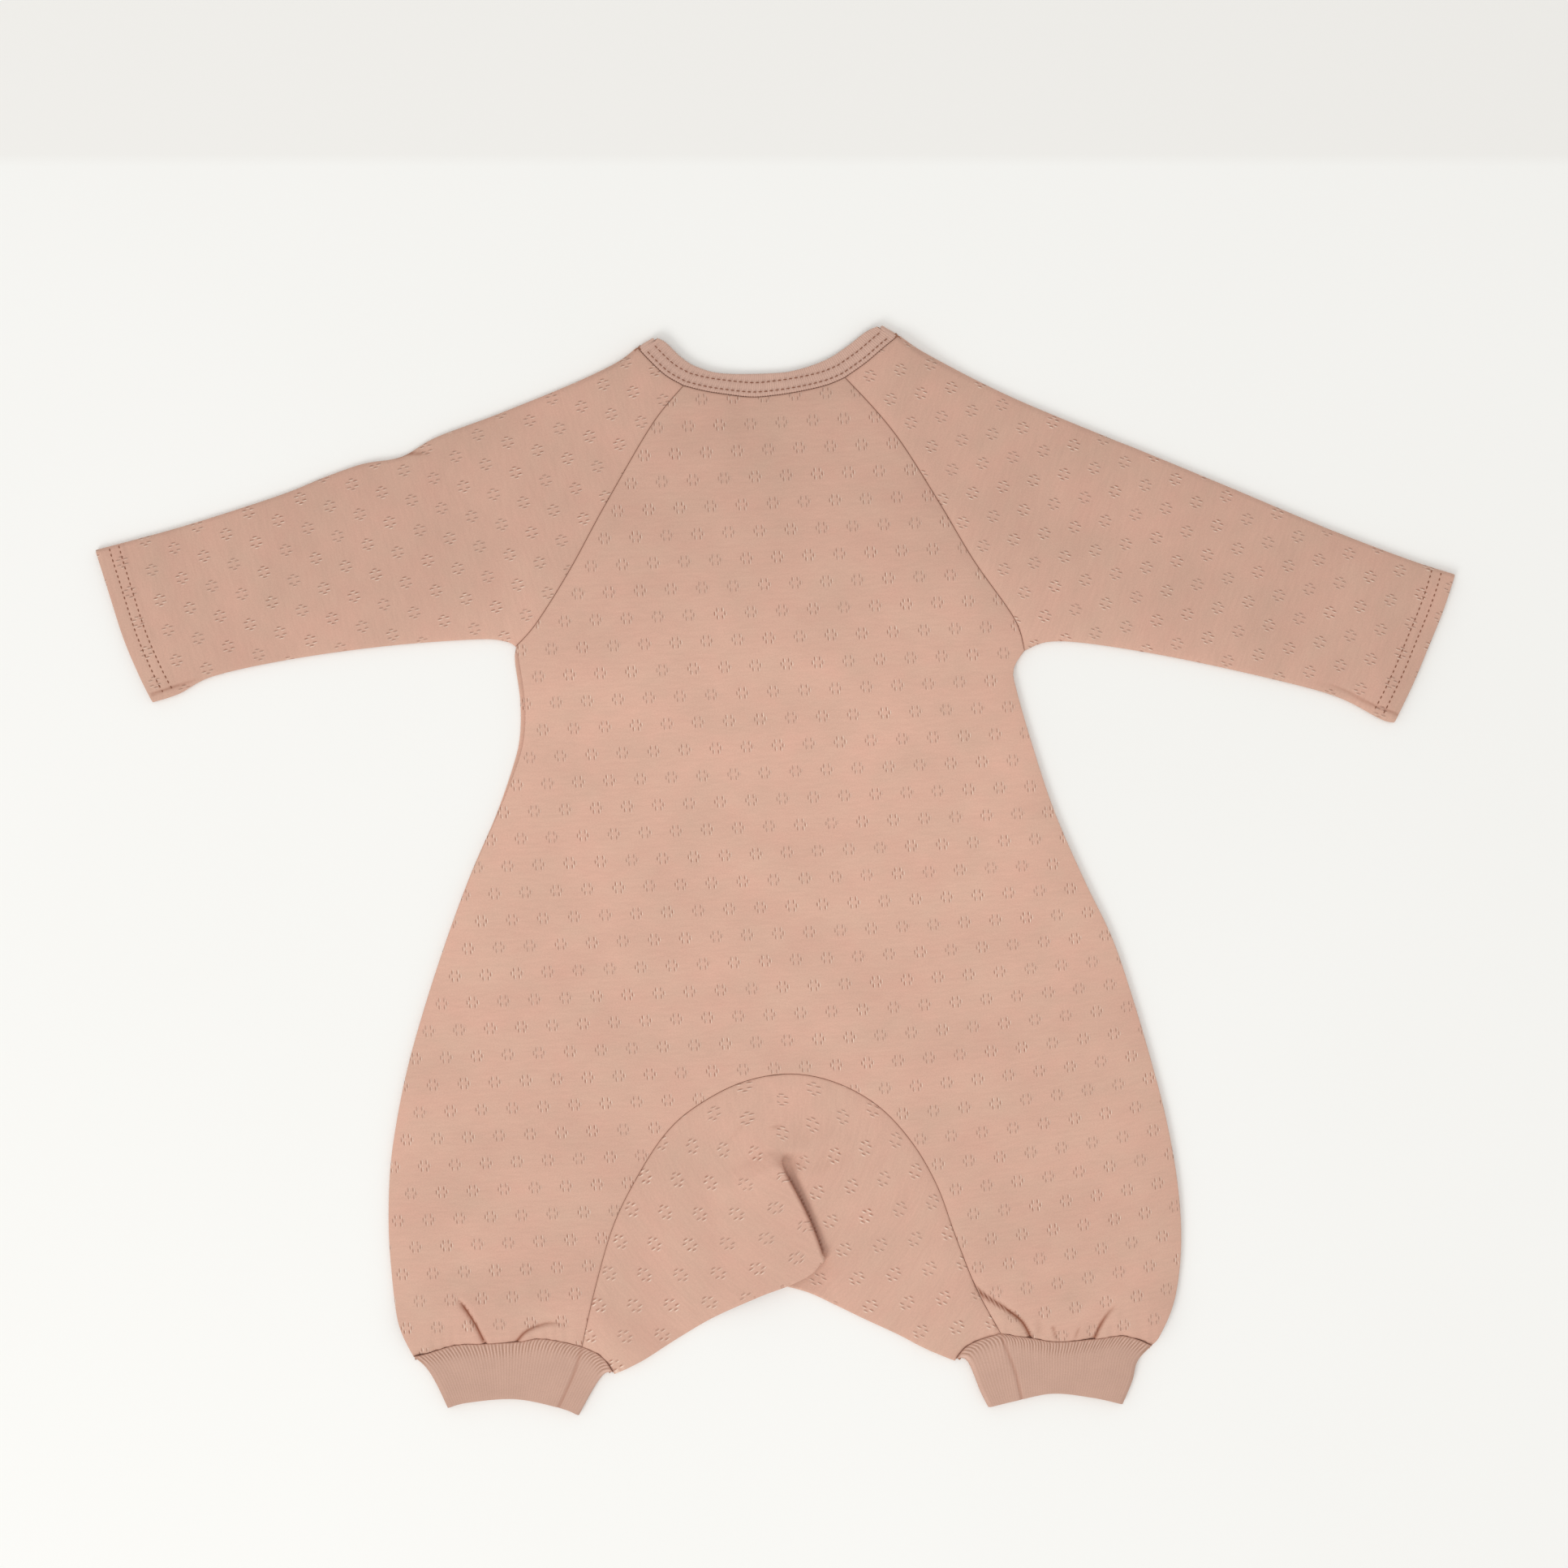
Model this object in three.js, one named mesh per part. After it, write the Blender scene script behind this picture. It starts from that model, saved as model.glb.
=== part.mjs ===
// A baby romper with raglan sleeves, laid out flat on its front with the back uppermost.
// Each cut-and-sewn piece is one closed cloth wall: back and front panel, two sleeves,
// the crotch gusset with its tuck, two rib leg cuffs and the rib neck binding.
// Millimetres. x runs across the garment, y up towards the neck, z up from the surface it lies on.
import * as THREE from "three";

// Cloth
const WALL = 1.2; // double jersey of the panels, the sleeves and the gusset
const RIB_WALL = 2.0; // leg cuffs, rib folded double
const BINDING_WALL = 2.0; // neck binding, rib folded over the neck edge
const PLY_GAP = 0.4; // air between the upper and the lower ply along an outer edge
const SEAM_GAP = 0.4; // clear space between two pieces that are sewn edge to edge
const TURN_GAP = 1.4; // the same where the neck binding turns over at a shoulder
const EDGE_HEIGHT = 2 * WALL + PLY_GAP; // both plies together at the garment's outer edge
const CUFF_EDGE_HEIGHT = 2 * RIB_WALL + PLY_GAP;

// How the upper ply rises from the outer edge
const DOME_RISE = 3.0;
const DOME_REACH = 12;
const CUFF_DOME_RISE = 1.2;
const NECK_LIFT = 2.2; // the front binding lies under the upper ply and lifts it
const NECK_LIFT_REACH = 22;
const SEAM_DIP = 0.7;
const SEAM_DIP_REACH = 4;
const LEG_PUFF = 1.8; // gathered cloth swells above each cuff
const LEG_PUFF_FROM_CUFF = 15;
const LEG_PUFF_REACH = 12;

// The tuck in the gusset: a dart-shaped Z-fold that is deepest at the crotch fold
const TUCK_BEND_RADIUS = 1.55; // middle of the doubled cloth, so folded layers clear each other by 0.3
const TUCK_BEND_LENGTH = Math.PI * TUCK_BEND_RADIUS;
const TUCK_FLAT = 0.5; // flat cloth between the two bends where the tuck begins
const TUCK_DEPTH = 28.6; // how far the middle layer runs back at the crotch fold
const TUCK_AT = 0.478; // share of the arch seam's length to the left of the tuck
const TUCK_TIP = 0.37; // where the tuck begins, as a share of the way from arch seam to fold
const TUCK_TURN = 0.16; // share of that way over which the bends close to a full half turn
const TUCK_EASE = 35; // length over which the cloth comes down again beside the tuck

// Number of facets. Pieces that share a seam have their vertices at the same stations of it.
const LEG_STEPS = 9; // along the panel's stretch of a cuff seam
const GUSSET_SEAM_STEPS = 2; // along the gusset's stretch of a cuff seam
const ARCH_STEPS = 8; // along the arch on each side of the tuck
const RAGLAN_STEPS = 6;
const SHOULDER_STEPS = 2; // along the sleeve's stretch of the neck seam
const NECK_STEPS = 10; // along the panel's stretch of the neck seam
const TUCK_BEND_STEPS = 3;

// Neck: the free edge of the binding, and the seam that joins it to sleeves and back panel
const LEFT_TIP = [-60.2, 262.2];
const RIGHT_TIP = [52.2, 268.2];
const LEFT_SHOULDER = [-68.4, 257.3];
const RIGHT_SHOULDER = [61, 263.1];
const LEFT_RAGLAN_TOP = [-45.2, 238];
const RIGHT_RAGLAN_TOP = [34.2, 242];
const NECK_FREE_EDGE = [
  LEFT_TIP, [-54.4, 260], [-46.2, 252.4], [-38.6, 247.8], [-25.8, 244.6], [-0.2, 244.8],
  [12.6, 246.9], [25.4, 251.6], [35.4, 258], [44.6, 265], RIGHT_TIP,
];
const LEFT_NECK_SEAM = [LEFT_SHOULDER, [-61.4, 249.7], [-53.8, 242.8], LEFT_RAGLAN_TOP];
const BACK_NECK_SEAM = [
  LEFT_RAGLAN_TOP, [-32.2, 235], [-13, 232.8], [-0.2, 233.6], [12.6, 235.4], [25.4, 238.4],
  RIGHT_RAGLAN_TOP,
];
const RIGHT_NECK_SEAM = [RIGHT_RAGLAN_TOP, [44.5, 249.2], [53.4, 256.8], RIGHT_SHOULDER];

// The front neckline is scooped lower and lies hidden under the back
const LEFT_FRONT_RAGLAN_TOP = [-48, 214];
const RIGHT_FRONT_RAGLAN_TOP = [34, 215];
const LEFT_FRONT_NECK = [LEFT_SHOULDER, [-66.5, 244], [-60, 229], LEFT_FRONT_RAGLAN_TOP];
const FRONT_NECK_SEAM = [
  LEFT_FRONT_RAGLAN_TOP, [-30, 203], [-8, 198.5], [14, 202.5], RIGHT_FRONT_RAGLAN_TOP,
];
const RIGHT_FRONT_NECK = [RIGHT_FRONT_RAGLAN_TOP, [48, 232], [56, 247], RIGHT_SHOULDER];
const FRONT_NECK_FREE_EDGE = [
  LEFT_TIP, [-56.6, 247], [-51, 234.5], [-41, 222], [-26, 213], [-8, 209], [10, 212.5],
  [27, 223], [39.5, 238], [47, 252], RIGHT_TIP,
];

// Raglan seams, from the underarm up to the neck
const LEFT_UNDERARM = [-127.8, 110];
const RIGHT_UNDERARM = [122.6, 108];
const LEFT_RAGLAN = [
  LEFT_UNDERARM, [-117.4, 121.6], [-101, 147.6], [-83.6, 179.6], [-61, 218], LEFT_RAGLAN_TOP,
];
const RIGHT_RAGLAN = [
  RIGHT_UNDERARM, [117.6, 123.4], [97.6, 152], [79.4, 182.4], [58.6, 214.4], RIGHT_RAGLAN_TOP,
];
const LEFT_FRONT_RAGLAN = [LEFT_UNDERARM, [-108, 138], [-68, 194], LEFT_FRONT_RAGLAN_TOP];
const RIGHT_FRONT_RAGLAN = [RIGHT_UNDERARM, [100, 140], [56, 197], RIGHT_FRONT_RAGLAN_TOP];

// Sleeves: each edge runs from the hem to the body, and the hem from the lower to the top edge
const LEFT_HEM = [[-306.5, 82.6], [-313.5, 96.4], [-321.4, 114.9], [-329, 140], [-334.6, 157.6]];
const LEFT_SLEEVE_TOP = [
  [-334.6, 157.6], [-291.8, 169.2], [-245, 183.4], [-203, 199.8], [-184.3, 203.6],
  [-167.2, 213], [-137.4, 225.2], [-101, 240.4], [-78.4, 250], LEFT_SHOULDER,
];
const LEFT_SLEEVE_UNDER = [
  [-306.5, 82.6], [-293.4, 86.9], [-276.2, 95.6], [-237.4, 104], [-190.6, 110.4],
  [-147, 113.6], [-133, 112.6], LEFT_UNDERARM,
];
const RIGHT_HEM = [[304.5, 72.6], [315.4, 92.8], [323.6, 109.3], [330.2, 127.6], [334.4, 145.6]];
const RIGHT_SLEEVE_TOP = [
  [334.4, 145.6], [312, 153.2], [272.2, 168.2], [222.5, 188.9], [164.4, 211.3],
  [114.6, 232.8], [75.8, 252.8], RIGHT_SHOULDER,
];
const RIGHT_SLEEVE_UNDER = [
  [304.5, 72.6], [277.2, 86.1], [247.4, 93.6], [197.6, 104.4], [156.1, 111.3],
  [134.6, 112.4], RIGHT_UNDERARM,
];

// Side seams, from the underarm down to the cuff
const LEFT_LEG_CORNER = [-177.5, -239.2];
const RIGHT_LEG_CORNER = [185.3, -233.8];
const LEFT_SIDE = [
  LEFT_UNDERARM, [-124.6, 97], [-124.2, 77], [-128.6, 52], [-137.6, 27.2], [-150, -1.6],
  [-161.8, -33.4], [-173.4, -69.2], [-182.4, -102.3], [-188.8, -138], [-190, -165],
  [-188.8, -190.8], [-184.2, -222.6], LEFT_LEG_CORNER,
];
const RIGHT_SIDE = [
  RIGHT_UNDERARM, [117.2, 99], [118.6, 88.8], [126.4, 61.6], [137.4, 28.6], [151.8, -4.4],
  [165.7, -33.4], [176, -63.6], [185.7, -96.8], [192.8, -124.8], [198.1, -156],
  [199.6, -184.4], [197, -209.5], [189.7, -228.4], RIGHT_LEG_CORNER,
];

// Leg ends: the seam of each cuff, first along the panel and then along the gusset
const LEFT_ARCH_FOOT = [-95, -234];
const RIGHT_ARCH_FOOT = [110.6, -227.4];
const LEFT_GUSSET_CORNER = [-79.8, -247];
const RIGHT_GUSSET_CORNER = [88.8, -240.4];
const LEFT_LEG_SEAM = [
  LEFT_LEG_CORNER, [-171, -237.4], [-157.1, -233.2], [-142.6, -232.5], [-127.2, -231.6],
  [-115, -230], [-100.8, -232.4], LEFT_ARCH_FOOT,
];
const RIGHT_LEG_SEAM = [
  RIGHT_ARCH_FOOT, [124.9, -229.6], [138.5, -231.5], [157.3, -230.1], [169.8, -228.6],
  [178, -230.5], RIGHT_LEG_CORNER,
];
const LEFT_GUSSET_SEAM = [LEFT_ARCH_FOOT, [-87.9, -237.2], [-83.2, -241.4], LEFT_GUSSET_CORNER];
const RIGHT_GUSSET_SEAM = [RIGHT_ARCH_FOOT, [100.8, -230.4], [93.4, -234.4], RIGHT_GUSSET_CORNER];
const LEFT_CUFF_END = [
  [-161.3, -264.4], [-151.4, -261.6], [-127.8, -259.8], [-105.5, -264.3], [-96.6, -268],
];
const LEFT_CUFF_OUTER = [LEFT_LEG_CORNER, [-171.8, -244.8], [-166.6, -253.2], [-161.3, -264.4]];
const LEFT_CUFF_INNER = [LEFT_GUSSET_CORNER, [-83.8, -247.8], [-88.6, -253.6], [-96.6, -268]];
const RIGHT_CUFF_END = [
  [170.9, -262.5], [156.2, -259.2], [136.2, -257.1], [117.6, -260.8], [104.6, -264],
];
const RIGHT_CUFF_INNER = [RIGHT_GUSSET_CORNER, [94.5, -241.8], [100.8, -256.6], [104.6, -264]];
const RIGHT_CUFF_OUTER = [RIGHT_LEG_CORNER, [178.2, -241.4], [175.6, -251.2], [170.9, -262.5]];

// The arch seam of the gusset, and its lower edge, where the cloth folds round to the front
const ARCH = [
  LEFT_ARCH_FOOT, [-87.9, -202.8], [-79.1, -173.2], [-66.8, -148.7], [-53.9, -129.2],
  [-39.4, -116.2], [-17.2, -104.4], [6.4, -100], [28.9, -104], [50.2, -115.6],
  [67, -133.6], [79.4, -155], [88.4, -179.6], [98.4, -204.8], RIGHT_ARCH_FOOT,
];
const LEFT_CROTCH_FOLD = [
  LEFT_GUSSET_CORNER, [-54.2, -234.2], [-31.8, -221.2], [-9.4, -210.6], [6.4, -204.4],
  [19.8, -197.9], [24.4, -193.6],
];
const RIGHT_CROTCH_FOLD = [[15.4, -208.4], [46.8, -223], [76, -235.8], RIGHT_GUSSET_CORNER];
const TUCK_LINE = [[-1, -120], [-1.5, -137], [5, -148.3], [14, -168], [24.4, -193.6]];
const TUCK_DIRECTION_AT_FOLD = new THREE.Vector2(0.943, 0.332); // across the tuck at the crotch fold

// Creases in the upper ply: a line, its height (a trough is negative) and its half width
const CREASES = [
  { line: [[-156.6, -209.5], [-146.6, -223.8], [-142.6, -232.4]], height: -1.8, reach: 3.5 },
  { line: [[-127.2, -231.4], [-117.4, -223.8], [-97.4, -224.4]], height: -1.4, reach: 3.5 },
  { line: [[98.6, -204.8], [116.5, -217.2], [125.8, -229.9]], height: -2.2, reach: 3.5 },
  { line: [[156.6, -229.9], [163.4, -216.8], [168.8, -211.1]], height: -1.6, reach: 3.5 },
  { line: [[-155, -171], [-152, -206]], height: -1.0, reach: 8 },
  { line: [[-184.3, 203.6], [-167.2, 204]], height: -1.0, reach: 3.5 },
  { line: [[-8.2, -117.4], [-21.8, -131.5]], height: 0.8, reach: 4 },
  { line: [[-26, 226], [12, 227]], height: -1.8, reach: 15 }, // the back sags into the front neckline
];

const curveOf = (points) => new THREE.SplineCurve(points.map(([x, y]) => new THREE.Vector2(x, y)));
const bell = (q) => Math.exp(-q * q);
const smooth = (value, from, to) => THREE.MathUtils.smoothstep(value, from, to);
const mix = (a, b, share) => a + (b - a) * share;

// A path through several curves. Each entry is a curve and the parameter at which it ends.
function pathOf(...stretches) {
  return (u) => {
    let from = 0;
    for (const [curve, to] of stretches) {
      if (u <= to || to === 1) return curve.getPointAt(Math.min(1, (u - from) / (to - from)));
      from = to;
    }
  };
}

// The surface point between four boundary paths: near and far run along u, left and right along v.
function coonsPatch(near, far, left, right) {
  const corners = [near(0), near(1), far(0), far(1)];
  return (u, v) => {
    const point = near(u).multiplyScalar(1 - v).addScaledVector(far(u), v);
    point.addScaledVector(left(v), 1 - u).addScaledVector(right(v), u);
    const weights = [(1 - u) * (1 - v), u * (1 - v), (1 - u) * v, u * v];
    weights.forEach((weight, i) => point.addScaledVector(corners[i], -weight));
    return point;
  };
}

// Distance from a point to the nearest of some open lines, each sampled along its spline.
function distanceField(lines, spacing = 5) {
  const segments = lines.flatMap((line) => {
    const curve = curveOf(line);
    const points = curve.getSpacedPoints(Math.max(2, Math.round(curve.getLength() / spacing)));
    return points.slice(1).map((end, i) => [points[i], end]);
  });
  return (x, y) => {
    let nearest = Infinity;
    for (const [a, b] of segments) {
      const dx = b.x - a.x;
      const dy = b.y - a.y;
      const share = ((x - a.x) * dx + (y - a.y) * dy) / (dx * dx + dy * dy);
      const along = Math.min(1, Math.max(0, share));
      nearest = Math.min(nearest, Math.hypot(x - a.x - along * dx, y - a.y - along * dy));
    }
    return nearest;
  };
}

const toOuterEdge = distanceField([
  LEFT_HEM, LEFT_SLEEVE_TOP, LEFT_SLEEVE_UNDER, RIGHT_HEM, RIGHT_SLEEVE_TOP, RIGHT_SLEEVE_UNDER,
  NECK_FREE_EDGE, [LEFT_SHOULDER, LEFT_TIP], [RIGHT_TIP, RIGHT_SHOULDER], LEFT_SIDE, RIGHT_SIDE,
  LEFT_CUFF_OUTER, LEFT_CUFF_END, LEFT_CUFF_INNER, RIGHT_CUFF_INNER, RIGHT_CUFF_END,
  RIGHT_CUFF_OUTER, LEFT_CROTCH_FOLD, RIGHT_CROTCH_FOLD,
]);
const toFrontNeck = distanceField([LEFT_FRONT_NECK, FRONT_NECK_SEAM, RIGHT_FRONT_NECK]);
const toSeam = distanceField([LEFT_RAGLAN, RIGHT_RAGLAN, ARCH]);
const toCuff = distanceField([LEFT_LEG_SEAM, RIGHT_LEG_SEAM]);
const creaseFields = CREASES.map(({ line, height, reach }) => ({
  height,
  reach,
  distance: distanceField([line]),
}));

// Top of the upper ply above the surface the garment lies on.
function upperHeight(x, y) {
  let z = EDGE_HEIGHT + DOME_RISE * (1 - Math.exp(-toOuterEdge(x, y) / DOME_REACH));
  z += NECK_LIFT * bell(toFrontNeck(x, y) / NECK_LIFT_REACH);
  z -= SEAM_DIP * bell(toSeam(x, y) / SEAM_DIP_REACH);
  z += LEG_PUFF * bell((toCuff(x, y) - LEG_PUFF_FROM_CUFF) / LEG_PUFF_REACH);
  for (const { height, reach, distance } of creaseFields) z += height * bell(distance(x, y) / reach);
  return Math.max(z, EDGE_HEIGHT);
}

function cuffHeight(x, y) {
  return CUFF_EDGE_HEIGHT + CUFF_DOME_RISE * (1 - Math.exp(-toOuterEdge(x, y) / DOME_REACH));
}

const stations = (count, from = 0, to = 1) =>
  Array.from({ length: count + 1 }, (_, i) => mix(from, to, i / count));

// Moves one line of points towards the line beside it, square to its own run.
function movedInside(line, beside, distance) {
  return line.map((point, i) => {
    const before = line[Math.max(0, i - 1)];
    const after = line[Math.min(line.length - 1, i + 1)];
    const inward = new THREE.Vector2(before.y - after.y, after.x - before.x).normalize();
    if (inward.dot(beside[i].clone().sub(point)) < 0) inward.negate();
    return point.clone().addScaledVector(inward, distance);
  });
}

// Trims half a seam gap off the named sides of a grid of rows.
function trimSeams(grid, sides) {
  const last = grid.length - 1;
  const end = grid[0].length - 1;
  const column = (j) => grid.map((row) => row[j]);
  const setColumn = (j, points) => grid.forEach((row, i) => (row[j] = points[i]));
  if (sides.includes("first")) grid[0] = movedInside(grid[0], grid[1], SEAM_GAP / 2);
  if (sides.includes("last")) grid[last] = movedInside(grid[last], grid[last - 1], SEAM_GAP / 2);
  if (sides.includes("left")) setColumn(0, movedInside(column(0), column(1), SEAM_GAP / 2));
  if (sides.includes("right")) setColumn(end, movedInside(column(end), column(end - 1), SEAM_GAP / 2));
  return grid;
}

// A closed mesh from two equal grids of points, the outer and the inner face of a cloth wall.
// wrap joins the last column to the first, and loop joins the last row to the first.
function wallGeometry(outer, inner, { wrap = false, loop = false } = {}) {
  const rows = outer.length;
  const columns = outer[0].length;
  const points = [...outer.flat(), ...inner.flat()];
  const outerAt = (i, j) => (i % rows) * columns + (j % columns);
  const innerAt = (i, j) => rows * columns + outerAt(i, j);
  const triangles = [];
  const quad = (a, b, c, d) => triangles.push(a, b, c, a, c, d);
  const rowSteps = loop ? rows : rows - 1;
  const columnSteps = wrap ? columns : columns - 1;
  for (let i = 0; i < rowSteps; i++)
    for (let j = 0; j < columnSteps; j++) {
      quad(outerAt(i, j), outerAt(i, j + 1), outerAt(i + 1, j + 1), outerAt(i + 1, j));
      quad(innerAt(i, j), innerAt(i + 1, j), innerAt(i + 1, j + 1), innerAt(i, j + 1));
    }
  if (!loop)
    for (let j = 0; j < columnSteps; j++) {
      quad(outerAt(0, j + 1), outerAt(0, j), innerAt(0, j), innerAt(0, j + 1));
      quad(outerAt(rows - 1, j), outerAt(rows - 1, j + 1), innerAt(rows - 1, j + 1), innerAt(rows - 1, j));
    }
  if (!wrap)
    for (let i = 0; i < rowSteps; i++) {
      quad(outerAt(i, 0), outerAt(i + 1, 0), innerAt(i + 1, 0), innerAt(i, 0));
      const j = columns - 1;
      quad(outerAt(i + 1, j), outerAt(i, j), innerAt(i, j), innerAt(i + 1, j));
    }
  return facingOut(points, triangles);
}

// The geometry of a closed surface, turned so that its faces point out.
function facingOut(points, triangles) {
  let volume = 0;
  for (let i = 0; i < triangles.length; i += 3) {
    const [a, b, c] = [0, 1, 2].map((k) => points[triangles[i + k]]);
    volume += a.dot(b.clone().cross(c));
  }
  const turned = volume < 0 ? triangles.reverse() : triangles;
  const geometry = new THREE.BufferGeometry().setFromPoints(points);
  geometry.setIndex(turned);
  geometry.computeVertexNormals();
  return geometry;
}

const raise = (point, z) => new THREE.Vector3(point.x, point.y, z);

// Shares of the arch seam's length at which both panels and the gusset have a vertex.
const archCurve = curveOf(ARCH);
const tuckTo = TUCK_AT + (2 * TUCK_BEND_LENGTH + TUCK_FLAT) / archCurve.getLength();
const archShares = [...stations(ARCH_STEPS, 0, TUCK_AT), ...stations(ARCH_STEPS, tuckTo, 1)];

// Columns of a body panel: along the left leg end, the arch and the right leg end.
const LEG_SHARE = 0.27;
const panelColumns = [
  ...stations(LEG_STEPS, 0, LEG_SHARE).slice(0, -1),
  ...archShares.map((share) => mix(LEG_SHARE, 1 - LEG_SHARE, share)),
  ...stations(LEG_STEPS, 1 - LEG_SHARE, 1).slice(1),
];

// Grid of a body panel from the neck (first row) to the leg ends and the arch (last row).
function panelGrid(neck, leftRaglan, rightRaglan, lowerRows) {
  const raglanShare = 0.3;
  const rows = [...stations(RAGLAN_STEPS, 0, raglanShare), ...lowerRows];
  const down = (points) => curveOf([...points].reverse());
  const legEnds = pathOf(
    [curveOf(LEFT_LEG_SEAM), LEG_SHARE],
    [archCurve, 1 - LEG_SHARE],
    [curveOf(RIGHT_LEG_SEAM), 1],
  );
  const patch = coonsPatch(
    pathOf([curveOf(neck), 1]),
    legEnds,
    pathOf([down(leftRaglan), raglanShare], [curveOf(LEFT_SIDE), 1]),
    pathOf([down(rightRaglan), raglanShare], [curveOf(RIGHT_SIDE), 1]),
  );
  return trimSeams(rows.map((v) => panelColumns.map((u) => patch(u, v))), ["first", "last", "left", "right"]);
}

function backPanel() {
  const lowerRows = [0.33, 0.38, 0.47, 0.58, 0.68, 0.78, 0.84, 0.89, 0.94, 1];
  const grid = panelGrid(BACK_NECK_SEAM, LEFT_RAGLAN, RIGHT_RAGLAN, lowerRows);
  const top = grid.map((row) => row.map((p) => raise(p, upperHeight(p.x, p.y))));
  const underside = top.map((row) => row.map((p) => raise(p, p.z - WALL)));
  return wallGeometry(top, underside);
}

function frontPanel() {
  const lowerRows = [0.33, 0.38, 0.47, 0.6, 0.76, 0.9, 1];
  const grid = panelGrid(FRONT_NECK_SEAM, LEFT_FRONT_RAGLAN, RIGHT_FRONT_RAGLAN, lowerRows);
  const top = grid.map((row) => row.map((p) => raise(p, WALL)));
  const underside = grid.map((row) => row.map((p) => raise(p, 0)));
  return wallGeometry(top, underside);
}

// A tube pressed flat: rings of points round the upper ply, one fold, the lower ply and the other
// fold. upper and lower give a ply's point at (along, across), and both meet at across = 0 and 1.
// acrossSteps are the stations between the two folds.
function flatTube({ upper, lower, alongSteps, acrossSteps, wall, height, trimmedEnd }) {
  const foldRadius = wall + PLY_GAP / 2;
  const foldAngles = [0, Math.PI / 4];
  const plyGrid = (ply) => {
    const rows = stations(alongSteps).map((s) => {
      const width = ply(s, 0).distanceTo(ply(s, 1));
      const fold = [...foldAngles, Math.PI / 2].map((angle) => (foldRadius * (1 - Math.cos(angle))) / width);
      const across = [...fold, ...acrossSteps, ...fold.map((t) => 1 - t).reverse()];
      return across.map((t) => ply(s, t));
    });
    return trimSeams(rows, [trimmedEnd]);
  };
  const count = acrossSteps.length + 2 * foldAngles.length + 2;
  // Lift of the outer face from the fold's middle, and of the inner face, in a fold's few points
  const foldLift = (j, radius) => {
    const fromEnd = Math.min(j, count - 1 - j);
    return fromEnd < foldAngles.length ? radius * Math.sin(foldAngles[fromEnd]) : null;
  };
  // The inner face of a fold lies nearer to the fold's middle than the outer face
  const pulledIn = (row, j) => {
    const fromEnd = Math.min(j, count - 1 - j);
    if (fromEnd >= foldAngles.length) return row[j];
    const towards = j < count / 2 ? row[foldAngles.length] : row[count - 1 - foldAngles.length];
    const shift = (foldRadius - PLY_GAP / 2) * Math.cos(foldAngles[fromEnd]);
    const step = towards.clone().sub(row[j]);
    return row[j].clone().addScaledVector(step.normalize(), shift);
  };
  const ring = (upperRow, lowerRow, upperZ, lowerZ, place) => {
    const top = upperRow.map((_, j) => raise(place(upperRow, j), upperZ(j, upperRow)));
    const bottom = lowerRow.map((_, j) => raise(place(lowerRow, j), lowerZ(j)));
    return [...top, ...bottom.slice(1, -1).reverse()];
  };
  const upperRows = plyGrid(upper);
  const lowerRows = plyGrid(lower);
  const innerRadius = PLY_GAP / 2;
  const outer = upperRows.map((row, i) =>
    ring(
      row,
      lowerRows[i],
      (j, points) => foldRadius + (foldLift(j, foldRadius) ?? height(points[j].x, points[j].y) - foldRadius),
      (j) => foldRadius - (foldLift(j, foldRadius) ?? foldRadius),
      (points, j) => points[j],
    ),
  );
  const inner = upperRows.map((row, i) =>
    ring(
      row,
      lowerRows[i],
      (j, points) =>
        foldRadius + (foldLift(j, innerRadius) ?? height(points[j].x, points[j].y) - wall - foldRadius),
      (j) => foldRadius - (foldLift(j, innerRadius) ?? innerRadius),
      pulledIn,
    ),
  );
  return wallGeometry(outer, inner, { wrap: true });
}

// A one-piece raglan sleeve, open at the hem and where it is sewn to body and neck.
function sleeve({ hem, under, top, raglan, neck, frontRaglan, frontNeck }) {
  const raglanShare = 0.84; // share of the body end that the raglan seam takes
  const raglanSteps = stations(RAGLAN_STEPS, 0, raglanShare).slice(1);
  const shoulderSteps = stations(SHOULDER_STEPS, raglanShare, 1).slice(1, -1);
  const ply = (raglanLine, neckLine) => {
    const bodyEnd = pathOf([curveOf(raglanLine), raglanShare], [curveOf(neckLine), 1]);
    return coonsPatch(
      pathOf([curveOf(under), 1]),
      pathOf([curveOf(top), 1]),
      pathOf([curveOf(hem), 1]),
      bodyEnd,
    );
  };
  return flatTube({
    upper: ply(raglan, neck),
    lower: ply(frontRaglan, frontNeck),
    alongSteps: 8,
    acrossSteps: [...raglanSteps, ...shoulderSteps],
    wall: WALL,
    height: upperHeight,
    trimmedEnd: "last",
  });
}

// A rib cuff, open at the leg seam and at its free end. It runs from its outer to its inner side.
function cuff({ legSeam, gussetSeam, end, outerSide, innerSide }) {
  const legShare = 0.8; // share of the seam that the panel's leg end takes
  const ply = coonsPatch(
    pathOf([curveOf(outerSide), 1]),
    pathOf([curveOf(innerSide), 1]),
    pathOf([curveOf(legSeam), legShare], [curveOf(gussetSeam), 1]),
    pathOf([curveOf(end), 1]),
  );
  return flatTube({
    upper: ply,
    lower: ply,
    alongSteps: 3,
    acrossSteps: [
      ...stations(LEG_STEPS, 0, legShare).slice(1),
      ...stations(GUSSET_SEAM_STEPS, legShare, 1).slice(1, -1),
    ],
    wall: RIB_WALL,
    height: cuffHeight,
    trimmedEnd: "first",
  });
}

// How far the tuck is closed at v, from the arch seam (0) to the crotch fold (1).
function tuckAt(v) {
  const turn = Math.PI * smooth(v, TUCK_TIP, TUCK_TIP + TUCK_TURN);
  const flat = mix(TUCK_FLAT, TUCK_DEPTH, Math.max(0, (v - TUCK_TIP - TUCK_TURN) / (1 - TUCK_TIP - TUCK_TURN)));
  return { turn, flat };
}

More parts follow.
